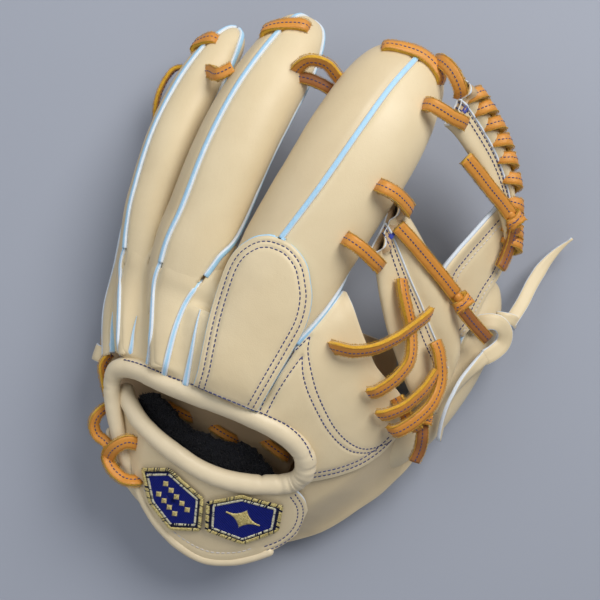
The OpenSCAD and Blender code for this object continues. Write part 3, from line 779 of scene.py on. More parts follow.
def welt(part, c, normals, w=2.7, h=1.35):
    """Welting: a light blue face between two white cut edges, with the small crinkles of a sewn strip."""
    a = w / 2
    prof = [(-a, -1.0), (-a, h * 0.35), (-a * 0.82, h * 0.62), (-a * 0.5, h * 0.7), (0, h * 0.82),
            (a * 0.5, h * 0.7),
            (a * 0.82, h * 0.62), (a, h * 0.35), (a, -1.0)]
    mats = ["white", "white", "blue", "blue", "blue", "blue", "white", "white", "white"]
    sweep(part, c, normals, prof, mats, wobble=shaky(0.16, 1.1, 11, upright=True), ends="white")


def finger_seam(name, side, u0, u1, lift=-0.35, count=150):
    p = FINGERS[name]
    us = np.linspace(u0, u1, count)
    c = np.array([on_finger(p, u, at(p, u)[side], lift) for u in us])
    n = np.array([unit(on_finger(p, u, at(p, u)[side], lift + 1) - on_finger(p, u, at(p, u)[side], lift))
                  for u in us])
    both = resample(np.concatenate([c, n], 1), 0.9)
    return both[:, :3], both[:, 3:]


for name in FINGERS:
    part = Part()
    last = len(FINGERS[name]) - 1.12
    for side in (7, 6):
        begins = {("index", 7): 4.0, ("index", 6): 1.95}.get((name, side), -0.2 if name == "pinky" else 1.45)
        if name in ("ring", "middle"):
            begins = base_station(name)
            SEAM_START[name, side] = finger_seam(name, side, begins, last)[0][0]
        welt(part, *finger_seam(name, side, begins, last))
    part.make(f"{name}_welting", BODY[name], replaces=[f"{name}_welts"], slot="welt")


# ---------------------------------------------------------------- leather over the hand
def panel(part, rows, nrow, ncol, height, thick, mat, grooves=(), puff=0.0, seed=1.0, groove=0.45,
          inner="tan",
          edge=None, hem=0.5, even=False, settle=0):
    """A cut leather piece, pulled in along stitched lines and pressed down at its edge.

    rows give y, smaller x and larger x. settle is how often its heights are evened out.
    """
    g = []
    for k in range(nrow + 1):
        f = k / nrow
        f = f if even else 0.5 * (f + 0.5 - 0.5 * math.cos(math.pi * f))
        y, x0, x1 = at(rows, f * (len(rows) - 1))
        ts = [i / ncol for i in range(ncol + 1)]
        ts = [0.35 * t + 0.65 * (0.5 - 0.5 * math.cos(math.pi * t)) for t in ts]
        g.append([(x0 + (x1 - x0) * t, y, 0) for t in ts])
    g = np.array(g)
    flat = g.reshape(-1, 3)
    border = np.concatenate([g[0], g[:, -1], g[-1][::-1], g[::-1, 0]])
    e = distance_to(flat[:, :2], border[:, :2])
    z = np.array([height(x, y) for x, y, _ in flat])
    if settle:
        zz = z.reshape(g.shape[:2])
        for _ in range(settle):
            pad = np.pad(zz, 1, mode="edge")
            zz = (pad[:-2, 1:-1] + pad[2:, 1:-1] + pad[1:-1, :-2] + pad[1:-1, 2:]) / 4
        z = zz.reshape(-1)
    wear = 0.7 * np.exp(-(e / 1.2) ** 2)
    z = z + puff * (1 - np.exp(-(e / 5.0) ** 2)) - hem * np.exp(-(e / 1.0) ** 2)
    z = z + np.array([uneven(p, 0.35, 26, seed) + uneven(p, 0.1, 7, seed + 4) for p in flat])
    for line in grooves:
        d = distance_to(flat[:, :2], np.asarray(line)[:, :2])
        z = z - groove * np.exp(-(d / 0.9) ** 2)
        wear = np.maximum(wear, 0.35 * np.exp(-(d / 1.6) ** 2))
    flat[:, 2] = z
    g = flat.reshape(g.shape)
    skin(part, g, thick, mat, inner=inner, edge=edge, wear=wear)


def offset_plan(line, by):
    """A plan-view polyline moved sideways (to its left when by is positive)."""
    line = np.asarray(line, float)[:, :2]
    d = np.gradient(line, axis=0)
    d /= np.maximum(np.linalg.norm(d, axis=1, keepdims=True), 1e-9)
    return line + np.stack([-d[:, 1], d[:, 0]], 1) * by


def smooth_plan(points, step=1.0):
    return curve([(x, y, 0) for x, y in points], step)[:, :2]


PAD = [(-57, -32, 1), (-49, -32.5, 2), (-38, -34.5, 3.5), (-24, -37, 5.5), (-10, -38.5, 7), (2, -39, 5),
       (10, -37.5, 1), (16, -34, -3), (20, -30, -8), (22.5, -25, -13.5), (23, -21.5, -17)]
FAN = [(-60, -77, 6), (-50, -83, 6), (-40, -88, 6), (-30, -91, 8), (-22, -92, 10)]
HAND_THUMB = ("hand", "thumb_side", (29, 0, 60), (43, 0, 60))

# continuous leather from the index finger seam across the fold to the thumb
SKIN = [(-84, 34, 37), (-81, 33, 42), (-76, 30, 50), (-70, 27, 58), (-65, 17, 63), (-61, 4, 66),
        (-57, 0.5, 68.5),
        (-50, 2, 71.5), (-44, 3.5, 74), (-37, 4.5, 75.5), (-32, 5.5, 72), (-26, 6.5, 66), (-22, 7, 59),
        (-19, 8, 52), (-15.5, 9.5, 46), (-10, 11.5, 40.5), (-4, 13.5, 34.5), (1, 15, 30), (6, 16.5, 25.5),
        (10, 17.5, 21.5), (12, 18, 19.5)]


def index_seam_z(y):
    p = FINGERS["index"]
    u = float(np.interp(y, [-55, -38, -18, 3, 23], [0, 1, 2, 3, 4]))
    return float(on_finger(p, u, at(p, u)[6], 0)[2])


def skin_height(x, y):
    base = back_at(x, y) - 1
    x0 = float(np.interp(y, [r[0] for r in SKIN], [r[1] for r in SKIN]))
    if y > -60:
        base += (index_seam_z(y) + 0.4 - (back_at(x0, y) - 1)) * math.exp(-((x - x0) / 8) ** 2)
    x1 = float(np.interp(y, [r[0] for r in SKIN], [r[2] for r in SKIN]))
    return base - 2.2 * math.exp(-((x1 - x) / 7) ** 2)


apex_rows = [smooth_plan([(2, -56.5), (3, -38), (5.5, -27), (11, -14)]),
             smooth_plan([(5.5, -56.5), (6.5, -45), (8.5, -34), (11, -24.5)])]
arc_rows = [smooth_plan([(11, -14.5), (12.5, -21), (18, -30), (25, -39), (37.5, -50.5), (49, -56.5),
                         (59.5, -57), (70.5, -50)]),
            smooth_plan([(11, -24.5), (15, -33), (22.5, -42), (36.5, -54), (49, -60), (58.5, -59.5),
                         (65.5, -56)])]
LOWER = smooth_plan([(38, -82.5), (43, -80), (52, -74.5), (61, -67), (68, -58), (72.5, -49)])
lower_rows = [offset_plan(LOWER, 2.0), offset_plan(LOWER, 4.4)]

over_skin = Part()
panel(over_skin, SKIN, 110, 90, skin_height, LEATHER_T, "cream", grooves=apex_rows + arc_rows + lower_rows,
                  seed=2.0, even=True, edge="white")
over_skin.make("thumb_back_leather_panel", blend=HAND_THUMB, replaces=["crotch_panel", "thumb_panel"])
skin_tree = over_skin.bvh()

# leather of the back of the hand under the seams, and the forks between the finger bases
hand_base = Part()


def base_height(x, y):
    return back_at(x, y) - 5.2 - 0.03 * max(0, -40 - x)


panel(hand_base, FAN, 50, 70, base_height, 2.0, "cream", seed=3.0)


NO_LEATHER = 15.0                 # height given where no finger is below
LOWEST_BASE = 28                  # below this the leather over the finger bases stops
SMOOTHINGS = 7
NEIGHBOURS = ((0, 0), (0, 1), (0, -1), (1, 0), (-1, 0))


def slide(heights, reach, pick):
    """The highest or lowest value within reach along each row."""
    wide = np.pad(heights, ((0, 0), (reach, reach)), constant_values=NO_LEATHER)
    return pick([wide[:, k:k + heights.shape[1]] for k in range(2 * reach + 1)], 0)


def base_skin(part, xs, ys, x_end, reach=13):
    """Leather over the finger bases.

    Beside the roll it bridges the valleys between the fingers, and higher up it sinks into them.
    """
    tree = Part().add(*[FINGER_PARTS[f, back] for f in LONG_FINGERS for back in (True, False)], part,
                      over_skin).bvh()
    top = np.full((len(ys), len(xs)), NO_LEATHER)
    for i, y in enumerate(ys):
        for j, x in enumerate(xs):
            hit = fall(tree, x, y)
            if hit is not None:
                top[i, j] = hit.z
    closed = np.maximum(top, slide(slide(top, reach, np.max), reach, np.min))
    solid = closed > LOWEST_BASE
    smooth = np.where(solid, closed, np.nan)
    for _ in range(SMOOTHINGS):
        wide = np.pad(smooth, 1, constant_values=np.nan)
        near = [wide[1 + a:1 + a + len(ys), 1 + b:1 + b + len(xs)] for a, b in NEIGHBOURS]
        weight = np.sum([~np.isnan(v) for v in near], 0)
        smooth = np.where(solid, np.nansum(near, 0) / np.maximum(weight, 1), np.nan)
    grid = []
    for i, y in enumerate(ys):
        w = min(1.0, max(0.0, (6 - y) / 22))
        w = w * w * (3 - 2 * w)
        left = xs[np.argmax(solid[i])]
        for j, x in enumerate(xs):
            e = w * min(1.0, max(0.0, (x - left - 1.0) / 5))
            z = (top[i, j] - 1.5) * (1 - e) + (smooth[i, j] + 0.5) * e if solid[i, j] else NO_LEATHER
            grid.append((x, y, z + uneven((x, y, 3), 0.22, 13, 23) * e))
    n = len(xs)
    faces = [(i * n + j, i * n + j + 1, (i + 1) * n + j + 1, (i + 1) * n + j) for i in range(len(ys) - 1)
             for j in range(n - 1)
             if solid[i:i + 2, j:j + 2].all() and xs[j + 1] < x_end]
    part.put(grid, faces, "cream")


base_skin(hand_base, np.linspace(-100, -16, 113), np.linspace(-62, 13, 90), -31)
hand_base.make("back_of_hand_leather", "hand", replaces=["fourchettes"])

under_pad = Part().add(FINGER_PARTS["index", True], FINGER_PARTS["index", False], over_skin).bvh()


PAD_BRIDGE = 2.5                  # how far to each side the highest leather is looked for
PAD_LIFT = 2.0                    # height of the pad's face over that leather


def pad_height(x, y):
    """The pad rests on the highest leather beside each point, so that it bridges the seam under it."""
    hits = [fall(under_pad, x + a, y) for a in (-PAD_BRIDGE, 0, PAD_BRIDGE)]
    heights = [hit.z for hit in hits if hit is not None]
    return max(heights) + PAD_LIFT if heights else index_seam_z(y)


pad_edge = smooth_plan([(r[1], r[0]) for r in PAD] + [(r[2], r[0]) for r in PAD[::-1]], 0.8)
pad_rows = [offset_plan(pad_edge, -2.6), offset_plan(pad_edge, -5.4)]
pad_rows = [np.array([q for q in line if q[1] > -58]) for line in pad_rows]
pad = Part()
panel(pad, PAD, 90, 60, pad_height, 2.0, "cream", grooves=pad_rows, puff=1.1, seed=5.0, settle=36,
      edge="blue", inner="cream")
pad.make("index_pad_leather", "hand", replaces=["index_pad"])
pad_tree = pad.bvh()

seams = Part()
sew(seams, pad_tree, pad_rows)
seams.make("pad_stitching", "hand", slot="shell_leather")
seams = Part()
sew(seams, skin_tree, apex_rows + arc_rows)
sew(seams, skin_tree, lower_rows, r=0.36)
seams.make("thumb_panel_stitching", blend=HAND_THUMB, slot="shell_leather")

# fan of welts where the finger bases meet the roll
fan_tree = Part().add(*[FINGER_PARTS[f, True] for f in LONG_FINGERS], hand_base).bvh()
fan = Part()
for line, w0, w1 in (
    ([(-81.5, -57), (-77.5, -65)], 1.0, 1.6),
    ([tuple(SEAM_START["ring", 7][:2]), (-92, -17), (-87.5, -27), (-82.5, -38), (-77.5, -50.5),
      (-73.5, -60.5)], 2.2, 2.2),
    ([(-72.5, -38), (-71, -46), (-69, -52.5), (-67.5, -60)], 0.3, 3.1),
    ([tuple(SEAM_START["middle", 7][:2]), (-70, -17.5), (-66, -29), (-61, -42.5), (-57.5, -59)], 2.2, 2.3),
    ([tuple(SEAM_START["middle", 6][:2]), (-50.5, -19), (-51, -33.5), (-49.5, -46), (-47.5, -59.5)], 2.2,
     3.1),
    ([(-42.5, -22.5), (-41, -32.5), (-39, -42.5), (-36, -59)], 0.3, 3.5),
):
    c, n = drop(fan_tree, line, 0.3)
    relax(c, 12)
    k = len(c)
    half = np.linspace(w0, w1, k) / 2

    def taper(f, half=half, k=k):
        a = float(np.interp(f * (k - 1), range(k), half))
        return [(-a, -1.2), (-a, 0.4), (-a * 0.8, 0.7), (-a * 0.45, 0.75), (0, 0.85), (a * 0.45, 0.75),
                (a * 0.8, 0.7),
                (a, 0.4), (a, -1.2)]
    sweep(fan, c, n, taper, ["white", "white", "white", "blue", "blue", "white", "white", "white", "white"],
          ends="white")
fan.make("finger_base_welts", "hand", slot="welt")

# ---------------------------------------------------------------- padded rolls round the wrist opening
ROLL_SIDES = 28
ROLL_SQUASH = 0.96               # height of the roll's section over its width
CAP_LENGTH = 4
SIDE_ROUTE = [(-42.5, -119, 38), (-51, -111, 43), (-58, -102, 46), (-64, -92.5, 48), (-69, -83.5, 50),
              (-72.5, -75, 52)]
UPPER_ROUTE = [(-72, -67, 56), (-63, -62.5, 62), (-46, -62.5, 70), (-28, -61.5, 75), (-4, -61, 78),
               (14.5, -62.5, 77),
               (29, -68.5, 72), (34, -78.5, 66)]
LOWER_ROUTE = [(29, -87, 61), (11.5, -94.5, 61), (-8, -97.5, 61), (-29.5, -94.5, 59), (-49, -88.5, 55),
               (-60, -81.5, 51), (-65.5, -76.5, 46)]
roll_route = np.array(SIDE_ROUTE + UPPER_ROUTE + LOWER_ROUTE, float)
n_side, n_upper = len(SIDE_ROUTE), len(UPPER_ROUTE)
raw = along(roll_route, 20 * (len(roll_route) - 1))
stations = np.linspace(0, len(roll_route) - 1, len(raw))
both = resample(np.concatenate([raw, stations[:, None]], 1), 1.0)
roll_c, roll_u = both[:, :3], both[:, 3]
turns = [(n_side - 0.75, 0.5, 5), (n_side + n_upper - 1.6, 0.55, 5), (n_side + n_upper - 0.7, 0.8, 7),
         (n_side + n_upper + 0.6, 0.5, 5)]
creases = []
for centre, spread, many in turns:
    for k in range(many):
        creases.append((centre + RNG.uniform(-spread, spread), RNG.uniform(0, 360), RNG.uniform(0.5, 1.0),
                        RNG.uniform(0.035, 0.08)))


def roll_ring(k):
    """Angles and radii of the roll's section at point k, with its creases."""
    u = roll_u[k]
    r = float(np.interp(u, [0, n_side - 1, n_side + 0.5, n_side + n_upper - 2, n_side + n_upper,
                            len(roll_route) - 1],
                        [3.4, 4.3, 5.4, 5.6, 5.2, 4.4]))
    ring = []
    for i in range(ROLL_SIDES):
        a = 360 * i / ROLL_SIDES
        dent = 0.0
        for cu, ca, depth, width in creases:
            away = abs((a - ca + 180) % 360 - 180)
            dent += depth * math.exp(-((u - cu - 0.0006 * (away - 40)) / width) ** 2) * max(0, 1 - away / 100)
        ring.append((a, r - dent))
    return ring


d_roll, up_roll, side_roll_v = frames_along(roll_c, (0, 0, 1))
rings = []
for k in range(len(roll_c)):
    pts = []
    for a, r in roll_ring(k):
        across = side_roll_v[k] * r * math.cos(math.radians(a))
        q = roll_c[k] + across + up_roll[k] * r * ROLL_SQUASH * math.sin(math.radians(a))
        q = q + unit(q - roll_c[k]) * (uneven(q, 0.3, 14, 21) + uneven(q, 0.1, 4, 23))
        pts.append(q)
    rings.append(np.array(pts))


def roll_piece(name, k0, k1, caps, **ride):
    part = Part()
    sel = rings[k0:k1 + 1]
    if caps[0]:
        sel = dome(sel[0], -d_roll[k0] * CAP_LENGTH, ROLL_CAP) + sel
    if caps[1]:
        sel = sel + dome(sel[-1], d_roll[k1] * CAP_LENGTH, ROLL_CAP)[::-1]
    m, n = ROLL_SIDES, len(sel)
    faces = [(a * m + i, a * m + (i + 1) % m, (a + 1) * m + (i + 1) % m, (a + 1) * m + i)
             for a in range(n - 1) for i in range(m)]
    if caps[0]:
        faces.append(tuple(range(m))[::-1])
    if caps[1]:
        faces.append(tuple((n - 1) * m + i for i in range(m)))
    part.put(np.concatenate(sel), [f[::-1] for f in faces], "cream_roll", [0.25] * (n * m))
    obj = part.make(name, **ride)
    return part


u_side, u_hand, u_strap = n_side - 0.5, n_side + n_upper - 1.6, n_side + n_upper + 0.5
k_side, k_hand, k_strap = (int(np.searchsorted(roll_u, v)) for v in (u_side, u_hand, u_strap))
roll_piece("side_roll_padding", 0, k_side, (True, False), body="hand", replaces=["side_roll"])
upper_part = roll_piece("upper_roll_padding", k_side, k_hand, (False, False), body="hand",
                        replaces=["upper_roll"])
roll_piece("roll_turn_padding", k_hand, k_strap, (False, False),
           blend=("hand", "strap", (30, -76, 66), (24, -90, 60)))
roll_piece("lower_roll_padding", k_strap, len(rings) - 1, (False, True), body="strap",
           replaces=["lower_roll"])

# stitched upper edge of the roll, on the leather beside it
row_tree = Part().add(*[FINGER_PARTS[f, True] for f in LONG_FINGERS[:3]], over_skin, pad, hand_base,
                      upper_part).bvh()
seams = Part()
c, n = drop(row_tree, [(-70, -60.5), (-62, -59), (-48, -58.5), (-28, -57), (-4, -57), (14, -58), (26, -62),
                       (34, -69), (38, -77), (38.5, -84)], 0.1)
relax(c, 10)
stitches(seams, c + n * 0.15, n)
seams.make("roll_edge_stitching", "hand", slot="shell_leather")

# ---------------------------------------------------------------- palm side
PALM = [(-141, -12, -7), (-140.5, -18.5, -1), (-139, -25, 5.5), (-136, -32, 13.5), (-131, -42, 24),
        (-124, -51.5, 34.5),
        (-116, -59, 45), (-109, -64.5, 54.5), (-104, -68, 60), (-92, -74, 65), (-80, -77, 68),
        (-66, -78, 60), (-57, -78, 56), (-46, -78, 58), (-32, -77, 60.5), (-22, -74, 60.5), (-16, -60, 60.5),
        (-10, -40, 58), (-4, -20, 56)]
PALM_BLEND = ("hand", "thumb_side", (32, 0, 40), (41, 0, 40))
PALM_T = 4.0
palm = Part()
panel(palm, PALM, 100, 90, lambda x, y: palm_at(x, y) + PALM_T, PALM_T, "tan", inner="palm", seed=6.0,
      even=True, edge="palm")
palm.make("palm_leather", blend=PALM_BLEND, replaces=["palm_shell", "thumb_palm"], slot="shell_leather")
heel = [(x0, y, palm_at(x0, y) + 3.2) for y, x0, _ in PALM[8::-1]] + [(x1, y, palm_at(x1, y) + 3.2) for y, _,
    x1 in PALM[:9]]
heel += [(x1 - 2, y, palm_at(x1, y) + 3.4) for y, _, x1 in PALM[9:11]] + [(60, -72, palm_at(60, -72) + 4)]
heel_roll = Part()
sweep(heel_roll, curve(heel, 1.4), (0, 0, 1), circle(2.7, 14, 0.95), "cream_roll", cap="round",
      wobble=shaky(0.2, 9, 35))
obj = heel_roll.make("palm_heel_binding", blend=PALM_BLEND, slot="shell_leather")
PINKY_PALM = [(-88, -78.5, -77), (-81, -83, -77), (-74, -87, -77), (-60, -92, -77), (-46, -96, -77),
              (-34, -98, -77),
              (-24, -98.5, -78), (-14, -98, -82)]
side = Part()
panel(side, PINKY_PALM, 40, 16, lambda x, y: palm_at(x, y) + PALM_T, PALM_T, "tan", inner="palm", seed=7.0,
      even=True, edge="palm")
side.make("pinky_palm_leather", blend=("hand", "pinky_side", (-79, 0, 30), (-86, 0, 30)),
          replaces=["pinky_palm"], slot="shell_leather")
LINING = [(-126, -48, 16), (-112, -64, 28), (-96, -70, 28), (-76, -72, 28), (-56, -72, 28), (-38, -72, 28),
          (-24, -68, 28)]
lining = Part()
panel(lining, LINING, 70, 60, lambda x, y: palm_at(x, y) + 9.4 + 0.5 * math.sin(y * 0.21 + x * 0.03), 1.4,
      "tan", seed=8.0, even=True)
lining.make("palm_lining_leather", "hand", replaces=["palm_lining"], slot="lining_leather")

# yellow lace stitches that hold the lining, inside the wrist opening
inner_laces = Part()
for x, y, a in ((-36, -77, -6), (-10, -78.5, -8), (17, -76, -14), (2, -104, 4), (-40, -100, 10)):
    dx, dy = 7.5 * math.cos(math.radians(a)), 7.5 * math.sin(math.radians(a))
    z = palm_at(x, y) + 9.6
    lace(inner_laces, [(x - dx, y - dy, z - 0.5), (x - dx * 0.6, y - dy * 0.6, z + 2.2), (x, y, z + 3.0),
                       (x + dx * 0.6, y + dy * 0.6, z + 2.2), (x + dx, y + dy, z - 0.5)], w=4.6, t=2.2,
         turn=25, fluff=0.6)
inner_laces.make("lining_lace_stitches", "hand", slot="lace")

# ---------------------------------------------------------------- wrist panel on the thumb side
WRIST = [(-129, 26, 32), (-126, 23, 39), (-121, 22, 46), (-112, 22, 56.5), (-102, 24, 64.5), (-92, 28, 71),
         (-82, 30, 78), (-72, 34, 83),
         (-62, 40, 87), (-53, 50, 89), (-45, 60, 90), (-38, 68, 88)]


def wrist_height(x, y):
    x1 = float(np.interp(y, [r[0] for r in WRIST], [r[2] for r in WRIST]))
    low = max(12.0, palm_at(min(x, 84), y) + 6.5)
    edge = min(1.0, max(0.0, (x1 - x) / 26))
    edge = edge * edge * (3 - 2 * edge)
    return low + (back_at(x, y) - 6.5 - low) * (0.05 + 0.95 * edge)


wrist = Part()
panel(wrist, WRIST, 80, 60, wrist_height, LEATHER_T, "palm", seed=9.0, even=True)
wrist.make("wrist_heel_leather", blend=("hand", "thumb_side", (31, 0, 55), (44, 0, 55)),
           replaces=["wrist_panel"], slot="shell_leather")

# ---------------------------------------------------------------- wrist strap, fleece and patches
STRAP = [(-63, -88, -83), (-57, -97.5, -87), (-50, -108.5, -90), (-44, -118, -92), (-36, -126, -94.5),
         (-26, -134, -97),
         (-12, -141, -100), (4, -143.5, -100), (18, -139, -95), (27, -133, -91), (34, -127, -90),
         (40, -120, -93), (44, -113, -98)]


def column_panel(part, cols, ncol, nrow, height, thick, mat, grooves=(), seed=1.0, **kw):
    """The same as panel, for pieces given as x, smaller y and larger y."""
    swapped = Part()
    panel(swapped, cols, ncol, nrow, lambda y, x: height(x, y), thick, mat, seed=seed,
          grooves=[np.asarray(g)[:, ::-1] for g in grooves], **kw)
    v = np.array(swapped.verts)[:, [1, 0, 2]]
    part.put(v, [f[::-1] for f in swapped.faces], swapped.mats, swapped.wear)


def strap_top(x, y):
    return strap_at(x, y) - 0.012 * max(0, x - 26) ** 2 - 0.34 * max(0, -45 - x)


strap_arc = smooth_plan([(32.5, -93.5), (38, -98), (40.5, -104), (40.5, -111), (37, -118.5), (30, -125)])
arc2 = [strap_arc, offset_plan(strap_arc, 2.7)]
strap_low = smooth_plan([(-40, -117.5), (-26, -129.5), (-12, -136), (4, -138), (18, -133), (25, -127.5)])
strap = Part()
column_panel(strap, STRAP, 80, 44, strap_top, LEATHER_T, "cream", grooves=arc2 + [strap_low], seed=11.0,
             edge="white", even=True)
strap.make("wrist_strap_leather", "strap", replaces=["wrist_strap"])
strap_tree = strap.bvh()
seams = Part()
sew(seams, strap_tree, arc2)
sew(seams, strap_tree, [strap_low], -0.05, mat="pale", pitch=2.8)
seams.make("strap_stitching", "strap", slot="shell_leather")

binding = Part()
edge_line = curve([(x, y0 + 0.2, strap_top(x, y0) - 1.3) for x, y0, _ in STRAP[3:-2]], 1.1)
sweep(binding, edge_line, (0, 0, 1), circle(2.5, 16, 0.95), "cream_roll", cap="round",
      wobble=shaky(0.16, 8, 31))
obj = binding.make("strap_rolled_edge", "strap", replaces=["strap_binding"])

FLEECE = [(-57, -93, -77), (-52, -98, -73.5), (-44, -112, -74.5), (-33, -121, -79.5), (-24, -126, -81.5),
          (-10, -131, -81),
          (4, -132, -78.5), (12, -129, -81.5), (20, -124, -86.5), (25, -114, -91)]


def fleece_top(x, y):
    base = strap_at(x, y) - 3.6 - 7 * min(1, max(0, (y + 112) / 12))
    return base - 0.28 * max(0, y + 92)


TUFTS = 7000
fleece = Part()
column_panel(fleece, FLEECE, 70, 50, lambda x, y: fleece_top(x, y) + uneven((x, y, 0), 0.9, 3.2, 13), 4.0,
             "fleece", seed=12.0,
             even=True, inner="fleece")
for _ in range(TUFTS):
    k = RNG.uniform(0, len(FLEECE) - 1)
    x, y0, y1 = at(FLEECE, k)
    y = y1 - (y1 - y0) * min(1.0, abs(RNG.gauss(0, 0.42)))
    z = fleece_top(x, y)
    edge = max(0.0, 1 - (y1 - y) / 3)
    lean = np.array([RNG.uniform(-1, 1), RNG.uniform(-1, 1) + 1.3 * edge,
                     RNG.uniform(0.25, 1.1) * (1 - 0.8 * edge)])
    tip = np.array([x, y, z]) + unit(lean) * RNG.uniform(1.2, 2.9)
    bend = np.array([x, y, z]) + (tip - (x, y,
                                         z)) * 0.55 + np.array([RNG.uniform(-0.5, 0.5) for _ in range(3)])
    w = RNG.uniform(0.16, 0.34)
    a = RNG.uniform(0, 6.28)
    tri = [np.array([math.cos(a + t), math.sin(a + t), 0]) * w for t in (0, 2.1, 4.2)]
    ring0 = [np.array([x, y, z - 0.4]) + t for t in tri]
    ring1 = [bend + t * 0.8 for t in tri]
    fleece.put(ring0 + ring1 + [tip], [(0, 1, 4, 3), (1, 2, 5, 4), (2, 0, 3, 5), (3, 4, 6), (4, 5, 6),
                                       (5, 3, 6), (2, 1, 0)], "fleece")
obj = fleece.make("strap_fleece_pile", "strap", replaces=["strap_fleece"], slot="fleece")

HEXES = {"patch_left": [(-42.5, -109), (-29.5, -102.5), (-7.5, -110.5), (-3, -128), (-17.5, -134),
                        (-33, -124.5)],
         "patch_right": [(-5.5, -111.5), (9.5, -101), (31, -99), (34, -113), (19.5, -126.5), (-1, -126.5)]}
PATCH_LIFT = {"patch_left": 2.3, "patch_right": 2.6}


def hex_line(corners, scale, step=0.8):
    mid = np.mean(corners, 0)
    pts = [mid + (np.array(q) - mid) * scale for q in corners]
    return resample(np.array(pts + pts[:1]), step)


def thread(part, p, q, height, sink, r, mat, lift=0.2, depth=0.2):
    """One embroidery thread between two plan-view points."""
    dash(part, (*p, height(*p) - sink), (*q, height(*q) - sink), UP, r, mat, lift, depth, 5)


def figure(part, centre, axis, reach, count, half_width, height, r, lift):
    """A gold figure of threads laid side by side across an axis.

    half_width is a function of how far along the axis a thread lies, from 0 in the middle to 1 at the ends.
    """
    over = np.array([-axis[1], axis[0]])
    for t in np.linspace(-1, 1, count):
        half = half_width(abs(t))
        p = centre + axis * t * reach - over * half
        q = centre + axis * t * reach + over * half
        thread(part, p, q, height, 0.03, r, "gold", lift)


def band(part, line, height, width, mat, pitch=0.52, lean=0.35):
    """Satin-stitched embroidery: threads laid across a line, side by side."""
    line = resample(line, pitch)
    for k in range(len(line) - 1):
        d = unit(line[k + 1] - line[k])
        across = np.array([-d[1], d[0]]) + d * lean
        length = width * RNG.uniform(0.82, 1.12)
        p, q = line[k] - across * length / 2, line[k] + across * length / 2
        thread(part, p, q, height, 0.05, RNG.uniform(0.24, 0.32),
               mat if RNG.random() > 0.16 else "patch_navy", 0.2, 0.25)


for name, corners in HEXES.items():
    mid = np.mean(corners, 0)
    lift = PATCH_LIFT[name]
    top = lambda x, y, lift=lift: strap_top(x, y) + lift
    part = Part()
    loops = [0.0, 0.25, 0.5, 0.7, 0.84, 0.93, 0.985, 1.0, 1.0]
    ring_n = 96
    rim = resample(hex_line(corners, 1.0, 0.4), 1.0)
    t = np.linspace(0, 1, ring_n + 1)[:-1]
    s = np.linspace(0, 1, len(rim))
    rim = np.stack([np.interp(t, s, rim[:, k]) for k in (0, 1)], 1)
    pts, faces, mats = [], [], []
    for li, f in enumerate(loops):
        for q in rim:
            xy = mid + (q - mid) * max(f, 0.004)
            drop_z = 0.0 if li < 6 else (0.25 if li == 6 else 0.8 if li == 7 else 1.7)
            pts.append((*xy, top(*xy) - drop_z))
    for li in range(len(loops) - 1):
        for i in range(ring_n):
            j = (i + 1) % ring_n
            faces.append((li * ring_n + i, (li + 1) * ring_n + i, (li + 1) * ring_n + j, li * ring_n + j))
            mats.append("satin" if li < 4 else "patch_navy")
    faces.append(tuple(range(ring_n))[::-1])
    mats.append("satin")
    bottom = (len(loops) - 1) * ring_n
    faces.append(tuple(bottom + i for i in range(ring_n)))
    mats.append("patch_navy")
    part.put(pts, [f[::-1] for f in faces], mats)
    for scale, width, mat in ((0.955, 1.9, "gold"), (0.80, 1.15, "silver")):
        band(part, hex_line(corners, scale), top, width, mat)
    if name == "patch_left":       # a generic pattern of two rows of diamonds along the patch
        axis = unit(np.array([20.0, -11.5]))
        over = np.array([-axis[1], axis[0]])
        for row, count in ((3.2, 5), (-3.6, 4)):
            for i in range(count):
                centre = mid + axis * (i - (count - 1) / 2) * 4.3 + over * row
                figure(part, centre, axis, 1.5, 9, lambda t: 1.9 * (1 - t) + 0.15, top, 0.26, 0.22)
    else:                          # a generic four-pointed star
        axis = unit(np.array([1.0, -0.05]))
        figure(part, mid, axis, 9.0, 45, lambda t: 0.35 + 5.2 * (1 - t) ** 2.6, top, 0.28, 0.24)
    part.make(f"{name}_embroidered", "strap", replaces=[name], slot="patch")

# ---------------------------------------------------------------- web
TOP_BAR = [(33.5, 105, 130), (38, 104, 128.5), (44, 101.5, 126), (54, 96, 120.5), (64, 90, 113.5),
           (73, 83, 104.5), (82, 74.5, 92.5),
           (90, 63, 76), (93, 60, 69)]
BOTTOM_BAR = [(22.5, 33, 63.5), (29, 26, 60), (36, 15, 56.5), (46, 1.5, 49.5), (56, -9.5, 42), (66, -20, 33),
              (76, -28, 23.5),
              (84, -30.5, 13), (88, -28, 4)]


